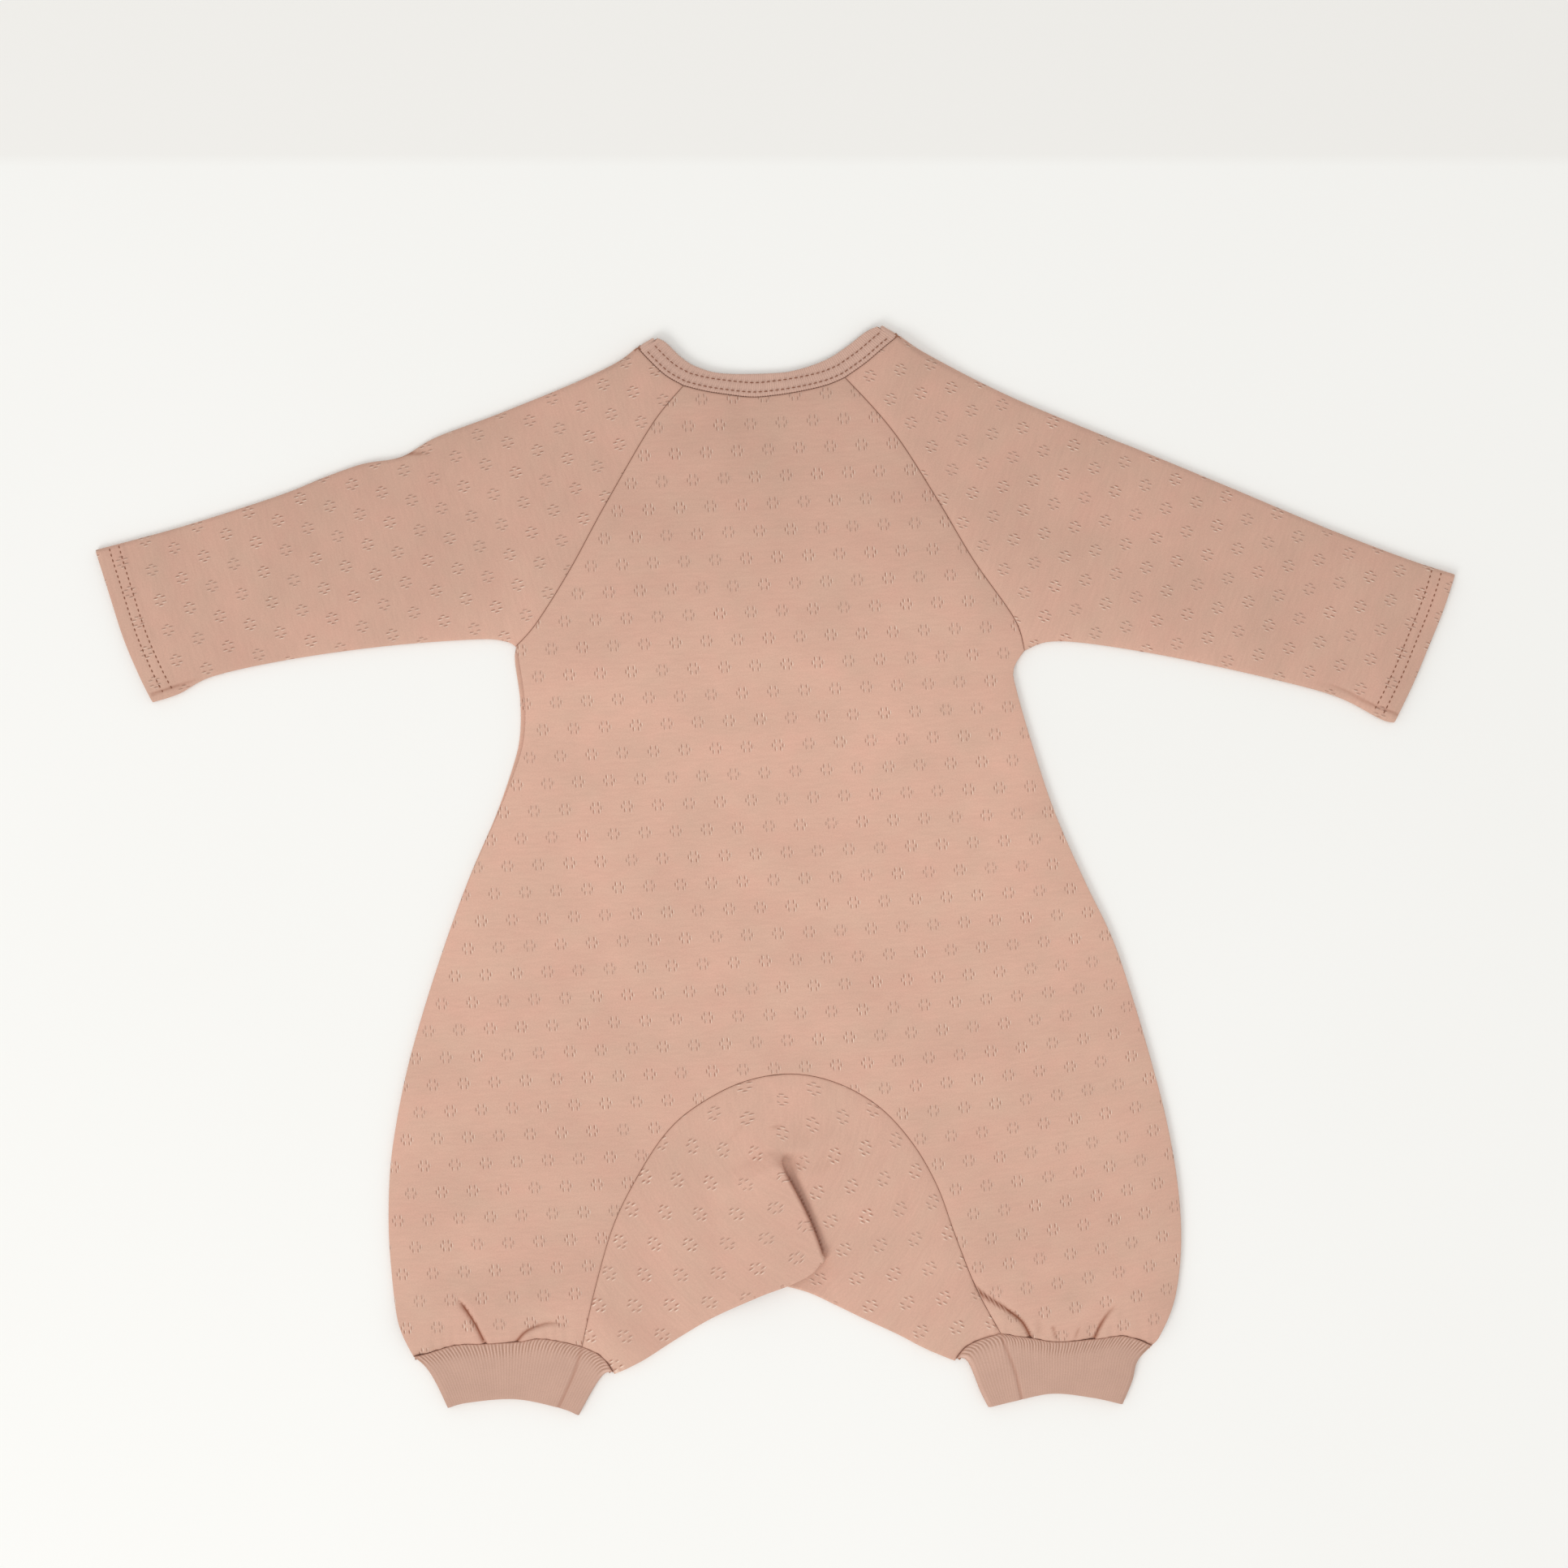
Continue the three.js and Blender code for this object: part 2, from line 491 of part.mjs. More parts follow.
// Middle line of the tuck at v, from its left end: run across, drop in height, and slope angle.
function tuckProfile(v) {
  const { turn, flat } = tuckAt(v);
  const bend = stations(TUCK_BEND_STEPS).map((share) => {
    const angle = turn * share;
    const length = TUCK_BEND_LENGTH * share;
    const ratio = turn > 0 ? TUCK_BEND_LENGTH / turn : 0;
    return turn > 0
      ? { across: ratio * Math.sin(angle), drop: ratio * (1 - Math.cos(angle)), angle }
      : { across: length, drop: 0, angle: 0 };
  });
  const first = bend[TUCK_BEND_STEPS];
  const across = 2 * first.across + flat * Math.cos(turn);
  const drop = 2 * first.drop + flat * Math.sin(turn);
  const second = [...bend].reverse().map((p) => ({ across: across - p.across, drop: drop - p.drop, angle: p.angle }));
  return [...bend, ...second];
}

// The gusset: upper ply from the arch seam to the crotch fold, round the fold, and back beneath.
function gusset() {
  const tuckTop = archCurve.getPointAt(TUCK_AT);
  const tuckLine = curveOf([tuckTop.toArray(), ...TUCK_LINE]);
  const directionAtArch = archCurve.getPointAt(tuckTo).sub(tuckTop).normalize();
  const acrossTuck = (v) => directionAtArch.clone().lerp(TUCK_DIRECTION_AT_FOLD, v).normalize();
  const tuckEnd = (v) => {
    const profile = tuckProfile(v);
    return tuckLine.getPointAt(v).addScaledVector(acrossTuck(v), profile[profile.length - 1].across);
  };
  const archPart = (from, to) => (u) => archCurve.getPointAt(mix(from, to, u));
  const rightFold = curveOf([tuckEnd(1).toArray(), ...RIGHT_CROTCH_FOLD]);
  const left = coonsPatch(
    archPart(0, TUCK_AT),
    pathOf([curveOf(LEFT_CROTCH_FOLD), 1]),
    pathOf([curveOf(LEFT_GUSSET_SEAM), 1]),
    (v) => tuckLine.getPointAt(v),
  );
  const right = coonsPatch(
    archPart(tuckTo, 1),
    pathOf([rightFold, 1]),
    tuckEnd,
    pathOf([curveOf(RIGHT_GUSSET_SEAM), 1]),
  );
  const rows = [
    ...stations(2, 0, TUCK_TIP),
    ...stations(3, TUCK_TIP, TUCK_TIP + TUCK_TURN).slice(1),
    ...stations(3, TUCK_TIP + TUCK_TURN, 1).slice(1),
  ];
  const flatHalf = (p) => upperHeight(p.x, p.y) / 2; // from the middle of both plies to an outer face
  const foldedHalf = EDGE_HEIGHT / 2;

  // One row of the doubled cloth: its middle points, their upward directions and half thickness
  const rowAt = (v) => {
    const profile = tuckProfile(v);
    const { turn, flat } = tuckAt(v);
    const direction = acrossTuck(v);
    const start = tuckLine.getPointAt(v);
    const drop = profile[profile.length - 1].drop;
    const closed = smooth(turn, 0, Math.PI / 2);
    const reach = flat + 3;
    const beside = (point, anchor, lift) => {
      const near = 1 - smooth(point.distanceTo(anchor), reach, reach + TUCK_EASE);
      const half = mix(flatHalf(point), foldedHalf, near * closed);
      return { point: raise(point, half + lift * near), up: new THREE.Vector3(0, 0, 1), half };
    };
    const half = mix(flatHalf(start), foldedHalf, closed);
    const leftPart = stations(ARCH_STEPS).slice(0, -1).map((u) => beside(left(u, v), start, drop));
    const tuckPart = profile.map((p) => ({
      point: raise(start.clone().addScaledVector(direction, p.across), half + drop - p.drop),
      up: new THREE.Vector3(direction.x * Math.sin(p.angle), direction.y * Math.sin(p.angle), Math.cos(p.angle)),
      half,
    }));
    const rightPart = stations(ARCH_STEPS).slice(1).map((u) => beside(right(u, v), tuckEnd(v), 0));
    return [...leftPart, ...tuckPart, ...rightPart];
  };
  const middle = rows.map(rowAt);
  trimGussetSeams(middle);

  const foldRow = middle[middle.length - 1];
  const foldTurns = [Math.PI / 4, 0, -Math.PI / 4];
  const lastTuckColumn = ARCH_STEPS + 2 * TUCK_BEND_STEPS + 1;
  const foldOutward = foldRow.map((_, j) => {
    const inTuck = j >= ARCH_STEPS && j <= lastTuckColumn;
    const across = acrossTuck(1);
    if (inTuck) return new THREE.Vector3(across.y, -across.x, 0);
    const before = foldRow[Math.max(0, j - 1)].point;
    const after = foldRow[Math.min(foldRow.length - 1, j + 1)].point;
    return new THREE.Vector3(after.y - before.y, before.x - after.x, 0).normalize();
  });
  const face = (inset) => {
    const offset = (cell, side) => cell.point.clone().addScaledVector(cell.up, side * (cell.half - inset));
    const upperRows = middle.map((row) => row.map((cell) => offset(cell, 1)));
    const foldRows = foldTurns.map((turn) =>
      foldRow.map((cell, j) =>
        cell.point
          .clone()
          .addScaledVector(foldOutward[j], (cell.half - inset) * Math.cos(turn))
          .addScaledVector(cell.up, (cell.half - inset) * Math.sin(turn)),
      ),
    );
    const lowerRows = [...middle].reverse().map((row) => row.map((cell) => offset(cell, -1)));
    return [...upperRows, ...foldRows, ...lowerRows];
  };
  return wallGeometry(face(0), face(WALL));
}

// Trims half a seam gap off the gusset along the arch and both cuff seams.
function trimGussetSeams(middle) {
  const flat = middle.map((row) => row.map(({ point }) => new THREE.Vector2(point.x, point.y)));
  trimSeams(flat, ["first", "left", "right"]);
  middle.forEach((row, i) => row.forEach((cell, j) => cell.point.set(flat[i][j].x, flat[i][j].y, cell.point.z)));
}

// The neck binding: a flat band that runs along the back neck, turns over at the right tip,
// runs back beneath along the front neck and turns over again at the left tip.
function neckBinding() {
  const half = BINDING_WALL / 2;
  // Section of the band: across from seam (0) to free edge (1), and thickness from -1 to 1
  const section = [
    [0, 1], [0.5, 1], [0.93, 1], [1, 0.4], [1, -0.4], [0.93, -1], [0.5, -1], [0, -1],
  ];
  const sectionAt = (seam, free, seamZ, freeZ, up, seamGap = SEAM_GAP / 2) => {
    const gap = seamGap / seam.distanceTo(free);
    return section.map(([across, thick]) => {
      const t = mix(gap, 1, across);
      const middle = raise(seam.clone().lerp(free, t), mix(seamZ, freeZ, t));
      return middle.addScaledVector(up, thick * half);
    });
  };
  const up = new THREE.Vector3(0, 0, 1);
  const topZ = (p) => Math.max(upperHeight(p.x, p.y), EDGE_HEIGHT) - half;
  const turnShare = 0.02; // share of each half that its turned-over ends take
  // Pairs of points on the seam and on the free edge, at the stations of the pieces sewn there
  const halfStations = (lines, freeEdge) => {
    const curves = lines.map(curveOf);
    const lengths = curves.map((curve) => curve.getLength());
    const whole = lengths[0] + lengths[1] + lengths[2];
    const middleFrom = lengths[0] / whole;
    const middleTo = 1 - lengths[2] / whole;
    const seam = pathOf([curves[0], middleFrom], [curves[1], middleTo], [curves[2], 1]);
    const free = curveOf(freeEdge);
    const shares = [
      turnShare,
      ...stations(SHOULDER_STEPS, 0, middleFrom).slice(1),
      ...stations(NECK_STEPS, middleFrom, middleTo).slice(1),
      ...stations(SHOULDER_STEPS, middleTo, 1).slice(1, -1),
      1 - turnShare,
    ];
    return shares.map((u) => ({ seam: seam(u), free: free.getPointAt(u) }));
  };
  const backHalf = halfStations([LEFT_NECK_SEAM, BACK_NECK_SEAM, RIGHT_NECK_SEAM], NECK_FREE_EDGE).map(
    ({ seam, free }) => sectionAt(seam, free, topZ(seam), topZ(free), up),
  );
  const frontHalf = halfStations([LEFT_FRONT_NECK, FRONT_NECK_SEAM, RIGHT_FRONT_NECK], FRONT_NECK_FREE_EDGE)
    .reverse()
    .map(({ seam, free }) => sectionAt(seam, free, half, half, up.clone().negate()));
  const turnOver = (shoulder, tip, angles) => {
    const seam = new THREE.Vector2(...shoulder);
    const free = new THREE.Vector2(...tip);
    const alongFold = free.clone().sub(seam).normalize();
    const outward = new THREE.Vector2(alongFold.y, -alongFold.x);
    if (outward.y < 0) outward.negate();
    const radiusAt = (p) => (topZ(p) - half) / 2;
    return angles.map((angle) => {
      const place = (p) => {
        const radius = radiusAt(p);
        return p.clone().addScaledVector(outward, radius * Math.sin(angle) - radius - half);
      };
      const level = (p) => half + radiusAt(p) * (1 + Math.cos(angle));
      const turned = new THREE.Vector3(outward.x * Math.sin(angle), outward.y * Math.sin(angle), Math.cos(angle));
      return sectionAt(place(seam), place(free), level(seam), level(free), turned, TURN_GAP);
    });
  };
  const down = [0, 45, 90, 135, 180].map(THREE.MathUtils.degToRad);
  const rings = [
    ...backHalf,
    ...turnOver(RIGHT_SHOULDER, RIGHT_TIP, down),
    ...frontHalf,
    ...turnOver(LEFT_SHOULDER, LEFT_TIP, [...down].reverse()),
  ];
  return ringGeometry(rings);
}

// A closed ring whose sections are closed polygons with equal numbers of points.
function ringGeometry(rings) {
  const size = rings[0].length;
  const at = (i, j) => (i % rings.length) * size + (j % size);
  const triangles = [];
  for (let i = 0; i < rings.length; i++)
    for (let j = 0; j < size; j++)
      triangles.push(at(i, j), at(i, j + 1), at(i + 1, j + 1), at(i, j), at(i + 1, j + 1), at(i + 1, j));
  return facingOut(rings.flat(), triangles);
}

const jersey = { color: 0xd2aa96, roughness: 0.92, metalness: 0 };
const rib = { color: 0xcba08c, roughness: 0.95, metalness: 0 };

function addPiece(group, name, geometry, finish) {
  const mesh = new THREE.Mesh(geometry, new THREE.MeshStandardMaterial(finish));
  mesh.name = name;
  group.add(mesh);
}

const romper = new THREE.Group();
addPiece(romper, "back_panel", backPanel(), jersey);
addPiece(romper, "front_panel", frontPanel(), jersey);
addPiece(
  romper,
  "sleeve_left",
  sleeve({
    hem: LEFT_HEM, under: LEFT_SLEEVE_UNDER, top: LEFT_SLEEVE_TOP,
    raglan: LEFT_RAGLAN, neck: [...LEFT_NECK_SEAM].reverse(),
    frontRaglan: LEFT_FRONT_RAGLAN, frontNeck: [...LEFT_FRONT_NECK].reverse(),
  }),
  jersey,
);
addPiece(
  romper,
  "sleeve_right",
  sleeve({
    hem: RIGHT_HEM, under: RIGHT_SLEEVE_UNDER, top: RIGHT_SLEEVE_TOP,
    raglan: RIGHT_RAGLAN, neck: RIGHT_NECK_SEAM,
    frontRaglan: RIGHT_FRONT_RAGLAN, frontNeck: RIGHT_FRONT_NECK,
  }),
  jersey,
);
addPiece(romper, "gusset", gusset(), jersey);
addPiece(
  romper,
  "cuff_left",
  cuff({
    legSeam: LEFT_LEG_SEAM, gussetSeam: LEFT_GUSSET_SEAM, end: LEFT_CUFF_END,
    outerSide: LEFT_CUFF_OUTER, innerSide: LEFT_CUFF_INNER,
  }),
  rib,
);
addPiece(
  romper,
  "cuff_right",
  cuff({
    legSeam: [...RIGHT_LEG_SEAM].reverse(), gussetSeam: RIGHT_GUSSET_SEAM, end: RIGHT_CUFF_END,
    outerSide: RIGHT_CUFF_OUTER, innerSide: RIGHT_CUFF_INNER,
  }),
  rib,
);
addPiece(romper, "neck_binding", neckBinding(), rib);

export default romper;
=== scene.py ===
import logging
import math
from collections.abc import Callable, Sequence
from dataclasses import dataclass, field
from enum import Enum

import bpy
import numpy as np
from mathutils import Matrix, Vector


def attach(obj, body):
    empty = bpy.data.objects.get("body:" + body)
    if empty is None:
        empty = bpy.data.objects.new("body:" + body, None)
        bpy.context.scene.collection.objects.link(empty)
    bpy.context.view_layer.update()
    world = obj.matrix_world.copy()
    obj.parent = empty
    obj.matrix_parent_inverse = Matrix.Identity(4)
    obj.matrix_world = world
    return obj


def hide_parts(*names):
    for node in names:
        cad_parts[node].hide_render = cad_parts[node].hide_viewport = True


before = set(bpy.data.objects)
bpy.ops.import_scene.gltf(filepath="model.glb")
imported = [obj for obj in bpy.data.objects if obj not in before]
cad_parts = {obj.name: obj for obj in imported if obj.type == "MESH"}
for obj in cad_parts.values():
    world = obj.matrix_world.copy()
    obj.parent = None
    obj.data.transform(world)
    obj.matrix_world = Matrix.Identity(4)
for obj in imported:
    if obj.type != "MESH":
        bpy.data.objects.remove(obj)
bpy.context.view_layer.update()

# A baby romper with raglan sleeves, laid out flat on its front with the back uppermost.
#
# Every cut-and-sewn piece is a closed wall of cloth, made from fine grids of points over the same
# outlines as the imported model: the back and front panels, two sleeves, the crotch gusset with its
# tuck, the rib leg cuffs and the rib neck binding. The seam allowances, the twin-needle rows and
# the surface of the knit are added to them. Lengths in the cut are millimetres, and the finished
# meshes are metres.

LOG = logging.getLogger("romper")
MM = 0.001

Array = np.ndarray
Point = tuple[float, float]
Outline = tuple[Point, ...]
Boundary = Callable[[Array], Array]
Socket = bpy.types.NodeSocket
Material = bpy.types.Material
Object = bpy.types.Object

# Cloth
WALL = 1.2  # double jersey of the panels, the sleeves and the gusset
RIB_WALL = 2.0  # leg cuffs, rib folded double
BINDING_WALL = 2.0  # neck binding, rib folded over the neck edge
PLY_GAP = 0.4  # air between the upper and the lower ply along an outer edge
SEAM_GAP = 0.14  # clear space between two pieces that are sewn edge to edge
EDGE_RADIUS = 0.3  # rounding of a cut edge
INNER_ROUNDING = 0.6  # share of it that the inner face has
EDGE_HEIGHT = 2 * WALL + PLY_GAP
CUFF_EDGE_HEIGHT = 2 * RIB_WALL + PLY_GAP

# Grid spacings beside a seam, where it is cut fine: how far each one holds, and the spacing
FINE_START = ((0.5, 0.25), (1.2, 0.7), (2.2, 1.0))
FINE_END = ((-1.2, 1.0), (-0.5, 0.7), (0.0, 0.25))

# Neck: the free edge of the binding, and the seam that joins it to sleeves and back panel
LEFT_TIP = (-60.2, 262.2)
RIGHT_TIP = (52.2, 268.2)
LEFT_SHOULDER = (-68.4, 257.3)
RIGHT_SHOULDER = (61, 263.1)
LEFT_RAGLAN_TOP = (-45.2, 238)
RIGHT_RAGLAN_TOP = (34.2, 242)
NECK_FREE_EDGE = (
    LEFT_TIP, (-54.4, 260), (-46.2, 252.4), (-38.6, 247.8), (-25.8, 244.6), (-0.2, 244.8),
    (12.6, 246.9), (25.4, 251.6), (35.4, 258), (44.6, 265), RIGHT_TIP,
)
LEFT_NECK_SEAM = (LEFT_SHOULDER, (-61.4, 249.7), (-53.8, 242.8), LEFT_RAGLAN_TOP)
BACK_NECK_SEAM = (
    LEFT_RAGLAN_TOP, (-32.2, 235), (-13, 232.8), (-0.2, 233.6), (12.6, 235.4), (25.4, 238.4),
    RIGHT_RAGLAN_TOP,
)
RIGHT_NECK_SEAM = (RIGHT_RAGLAN_TOP, (44.5, 249.2), (53.4, 256.8), RIGHT_SHOULDER)

# The front neckline is scooped lower and lies hidden under the back
LEFT_FRONT_RAGLAN_TOP = (-48, 214)
RIGHT_FRONT_RAGLAN_TOP = (34, 215)
LEFT_FRONT_NECK = (LEFT_SHOULDER, (-66.5, 244), (-60, 229), LEFT_FRONT_RAGLAN_TOP)
FRONT_NECK_SEAM = (
    LEFT_FRONT_RAGLAN_TOP, (-30, 203), (-8, 198.5), (14, 202.5), RIGHT_FRONT_RAGLAN_TOP,
)
RIGHT_FRONT_NECK = (RIGHT_FRONT_RAGLAN_TOP, (48, 232), (56, 247), RIGHT_SHOULDER)
FRONT_NECK_FREE_EDGE = (
    LEFT_TIP, (-56.6, 247), (-51, 234.5), (-41, 222), (-26, 213), (-8, 209), (10, 212.5),
    (27, 223), (39.5, 238), (47, 252), RIGHT_TIP,
)

# Raglan seams, from the underarm up to the neck
LEFT_UNDERARM = (-127.8, 110)
RIGHT_UNDERARM = (122.6, 108)
LEFT_RAGLAN = (
    LEFT_UNDERARM, (-117.4, 121.6), (-101, 147.6), (-83.6, 179.6), (-61, 218), LEFT_RAGLAN_TOP,
)
RIGHT_RAGLAN = (
    RIGHT_UNDERARM, (117.6, 123.4), (97.6, 152), (79.4, 182.4), (58.6, 214.4), RIGHT_RAGLAN_TOP,
)
LEFT_FRONT_RAGLAN = (LEFT_UNDERARM, (-108, 138), (-68, 194), LEFT_FRONT_RAGLAN_TOP)
RIGHT_FRONT_RAGLAN = (RIGHT_UNDERARM, (100, 140), (56, 197), RIGHT_FRONT_RAGLAN_TOP)

# Sleeves: each edge runs from the hem to the body, and the hem from the lower to the top edge
LEFT_HEM = ((-306.5, 82.6), (-313.3, 96.4), (-321, 114.9), (-329, 140), (-334.6, 157.6))
LEFT_SLEEVE_TOP = (
    (-334.6, 157.6), (-291.8, 169.2), (-245, 184.2), (-222.2, 193.3), (-203, 200),
    (-184.3, 203.4), (-167.2, 213), (-137.4, 224.2), (-101, 239), (-78.4, 249.8), LEFT_SHOULDER,
)
LEFT_SLEEVE_UNDER = (
    (-306.5, 82.6), (-293.4, 86.9), (-276.2, 95.6), (-237.4, 104), (-190.6, 110.4),
    (-147, 113.6), (-133, 112.6), LEFT_UNDERARM,
)
RIGHT_HEM = ((304.5, 72.6), (313.8, 92), (321, 109.3), (328.4, 127.6), (334.4, 145.6))
RIGHT_SLEEVE_TOP = (
    (334.4, 145.6), (312, 152.8), (272.2, 168), (222.5, 188.9), (177.8, 207.4), (164.4, 212.7),
    (114.6, 233.6), (75.8, 253.4), RIGHT_SHOULDER,
)
RIGHT_SLEEVE_UNDER = (
    (304.5, 72.6), (297.8, 74.4), (277.2, 85), (247.4, 93.4), (197.6, 104.4), (156.1, 111.3),
    (134.6, 112.4), RIGHT_UNDERARM,
)

# Side seams, from the underarm down to the cuff
LEFT_LEG_CORNER = (-178.2, -239.2)
RIGHT_LEG_CORNER = (185.3, -233.8)
LEFT_SIDE = (
    LEFT_UNDERARM, (-128.4, 103), (-125.8, 84), (-125.9, 66), (-129, 52), (-137.6, 27.2),
    (-150, -1.6), (-161.8, -33.4), (-173.4, -69.2), (-182.4, -102.3), (-188.8, -138),
    (-190.5, -165), (-189.7, -190.8), (-185.8, -221), LEFT_LEG_CORNER,
)
LEFT_BACK_SIDE = (
    LEFT_UNDERARM, (-126, 102.6), (-123.2, 82), (-123.6, 66), (-127, 52), (-136.7, 27.2),
    (-149.4, -1.6), (-161.4, -33.4), (-173.1, -69.2), (-182.2, -102.3), (-188.6, -138),
    (-190.3, -165), (-189.5, -190.8), (-185.7, -221), LEFT_LEG_CORNER,
)
RIGHT_SIDE = (
    RIGHT_UNDERARM, (117.2, 99), (118.6, 88.8), (126.4, 61.6), (137.4, 28.6), (151.8, -4.4),
    (165.7, -33.4), (176, -63.6), (185.7, -96.8), (192.8, -124.8), (198.1, -156),
    (199.6, -184.4), (196.7, -209.5), (189.2, -228.4), RIGHT_LEG_CORNER,
)

# Leg ends: the seam of each cuff, first along the panel and then along the gusset
LEFT_ARCH_FOOT = (-95, -234)
RIGHT_ARCH_FOOT = (110.6, -227.4)
LEFT_GUSSET_CORNER = (-79.8, -247)
RIGHT_GUSSET_CORNER = (88.8, -240.4)
LEFT_LEG_SEAM = (
    LEFT_LEG_CORNER, (-171, -237.4), (-157.1, -233.2), (-142.6, -232.5), (-127.2, -231.6),
    (-115, -230), (-100.8, -232.4), LEFT_ARCH_FOOT,
)
RIGHT_LEG_SEAM = (
    RIGHT_ARCH_FOOT, (124.9, -229.6), (138.5, -231.5), (157.3, -230.1), (169.8, -228.6),
    (178, -230.5), RIGHT_LEG_CORNER,
)
LEFT_GUSSET_SEAM = (LEFT_ARCH_FOOT, (-87.9, -237.2), (-83.2, -241.4), LEFT_GUSSET_CORNER)
RIGHT_GUSSET_SEAM = (RIGHT_ARCH_FOOT, (100.8, -230.4), (93.4, -234.4), RIGHT_GUSSET_CORNER)
LEFT_CUFF_END = (
    (-161.3, -264.4), (-151.4, -261.6), (-127.8, -259.8), (-105.5, -264.3), (-96.6, -268),
)
LEFT_CUFF_OUTER = (LEFT_LEG_CORNER, (-171.8, -244.8), (-166.6, -253.2), (-161.3, -264.4))
LEFT_CUFF_INNER = (LEFT_GUSSET_CORNER, (-83.8, -247.8), (-88.6, -253.6), (-96.6, -268))
RIGHT_CUFF_END = ((170.9, -262.5), (156.2, -259.2), (136.2, -257.1), (117.6, -260.8), (104.6, -264))
RIGHT_CUFF_INNER = (RIGHT_GUSSET_CORNER, (94.5, -241.8), (100.8, -256.6), (104.6, -264))
RIGHT_CUFF_OUTER = (RIGHT_LEG_CORNER, (178.2, -241.4), (175.6, -251.2), (170.9, -262.5))
LEFT_CUFF_JOIN = (LEFT_ARCH_FOOT, (-98.6, -246), (-104.3, -259), (-106.7, -263.8))
RIGHT_CUFF_JOIN = (RIGHT_ARCH_FOOT, (113.8, -236), (117.6, -246), (121, -259.6))

# The arch seam of the gusset, and its lower edge, where the cloth folds round to the front
ARCH = (
    LEFT_ARCH_FOOT, (-87.9, -202.8), (-79.1, -173.2), (-66.8, -148.7), (-53.9, -129.2),
    (-39.4, -116.2), (-17.2, -104.4), (6.4, -100), (28.9, -104), (50.2, -115.6),
    (67, -133.6), (79.4, -155), (88.4, -179.6), (98.4, -204.8), RIGHT_ARCH_FOOT,
)
LEFT_CROTCH_FOLD = (
    LEFT_GUSSET_CORNER, (-68, -240.2), (-54.2, -232.4), (-31.8, -219.2), (-9.4, -208.2),
    (6.4, -202.2), (16.6, -197), (21.6, -191.6),
)
RIGHT_CROTCH_FOLD = (
    (15.4, -206.2), (31, -213.2), (46.8, -220.8), (76, -233.9), RIGHT_GUSSET_CORNER,
)
TUCK_LINE = (
    (-3.6, -120), (-4.4, -135), (-1.6, -142.4), (4.3, -152.4), (11.1, -165.4), (16.4, -177.2),
    (21.6, -191.6),
)


@dataclass(frozen=True)
class Crease:
    """A crease of the upper ply along a line, from its free end to the seam where it is held.

    Attributes:
        line: Points that the crease runs through, in millimetres.
        groove: Depth of the sharp groove along the line.
        left: Height of the swell on the left of the line's run, or of the dip where negative.
        right: The same on its right.
        reach: Half width of swell and dip.
        fade: Share of the line over which the crease grows to its full height.
        held: Whether the crease keeps its full height at the line's last point.
    """

    line: Outline
    groove: float = 0.0
    left: float = 0.0
    right: float = 0.0
    reach: float = 5.0
    fade: float = 0.35
    held: bool = True


CREASES = (
    Crease(
        ((-156.6, -209.5), (-151.4, -216), (-146.6, -223.8), (-142.6, -232.4)),
        1.5, 0.7, 0.2, 4.5, 0.13,
    ),
    Crease(
        ((-97.4, -224.4), (-109, -222), (-117.4, -223.8), (-123.1, -226.8), (-127.2, -231.6)),
        1.1, 1.0, -0.9, 4.5, 0.5,
    ),
    Crease(
        (
            (97.2, -202.6), (99.8, -206.4), (102.8, -208.8), (108.2, -212), (113.8, -215.6),
            (119.8, -220.2), (122.8, -224.2), (125.4, -229.6),
        ),
        1.8, -0.5, 0.0, 5.0, 0.08,
    ),
    Crease(((168.8, -211.1), (163.4, -216.8), (159.4, -223.1), (156.6, -230)), 1.1, 0.9, -1.6, 7.0),
    Crease(((-155, -171), (-154, -188), (-152, -206)), 0.0, -0.6, -0.6, 7.0, 0.35, False),
    Crease(((-167.2, 204.2), (-179, 205), (-186.6, 203)), 0.9, 0.5, -0.5, 3.0),
    Crease(((-9.5, -118.3), (-16, -125), (-23.2, -133.3)), 0.1, 0.9, -0.2, 2.6, 0.35, False),
    Crease(((-5, -126.8), (2.2, -125.5)), 0.25, 0.1, 0.1, 1.5, 0.35, False),
    Crease(((39, -135), (30, -139.5), (22, -144.5), (15, -151)), 0.0, -1.7, -1.7, 3.4, 0.45, False),
    Crease(((31, -128), (23, -131.5), (16, -137), (9, -144)), 0.0, 0.8, 0.8, 3.6, 0.45, False),
    Crease(((24, -116), (18, -122), (11, -131), (6, -139)), 0.0, -1.3, -1.3, 3.6, 0.45, False),
    Crease(((133, -231.5), (131, -224), (128.6, -217)), 0.0, -1.3, -1.3, 2.6, 0.5, False),
    Crease(((-278.5, 95.9), (-290, 92), (-298.4, 89.3), (-306.5, 86.4)), 0.55, 0.0, 0.2, 2.5),
    Crease(((262, 93), (277, 89.6), (292, 82), (306, 76.5)), 0.5, 0.2, 0.0, 2.5),
    Crease(((-26, 226), (12, 227)), 0.0, -1.8, -1.8, 15.0, 0.35, False),
    Crease(((-118, -221), (-122, -206), (-120, -190)), 0.0, 0.7, 0.7, 6.0, 0.35, False),
    Crease(((142, -224), (141, -205), (146, -188)), 0.0, 0.7, 0.7, 7.0, 0.35, False),
    Crease(((-172, -222), (-170, -200), (-166, -180)), 0.0, 0.6, 0.6, 7.0, 0.35, False),
    Crease(((178, -218), (180, -200), (176, -180)), 0.0, 0.6, 0.6, 7.0, 0.35, False),
    Crease(((138.5, -231.5), (136, -224)), 0.5, 0.2, 0.2, 2.5, 0.2, False),
    Crease(((147, -231), (148.6, -225)), 0.4, 0.2, 0.2, 2.5, 0.2, False),
)


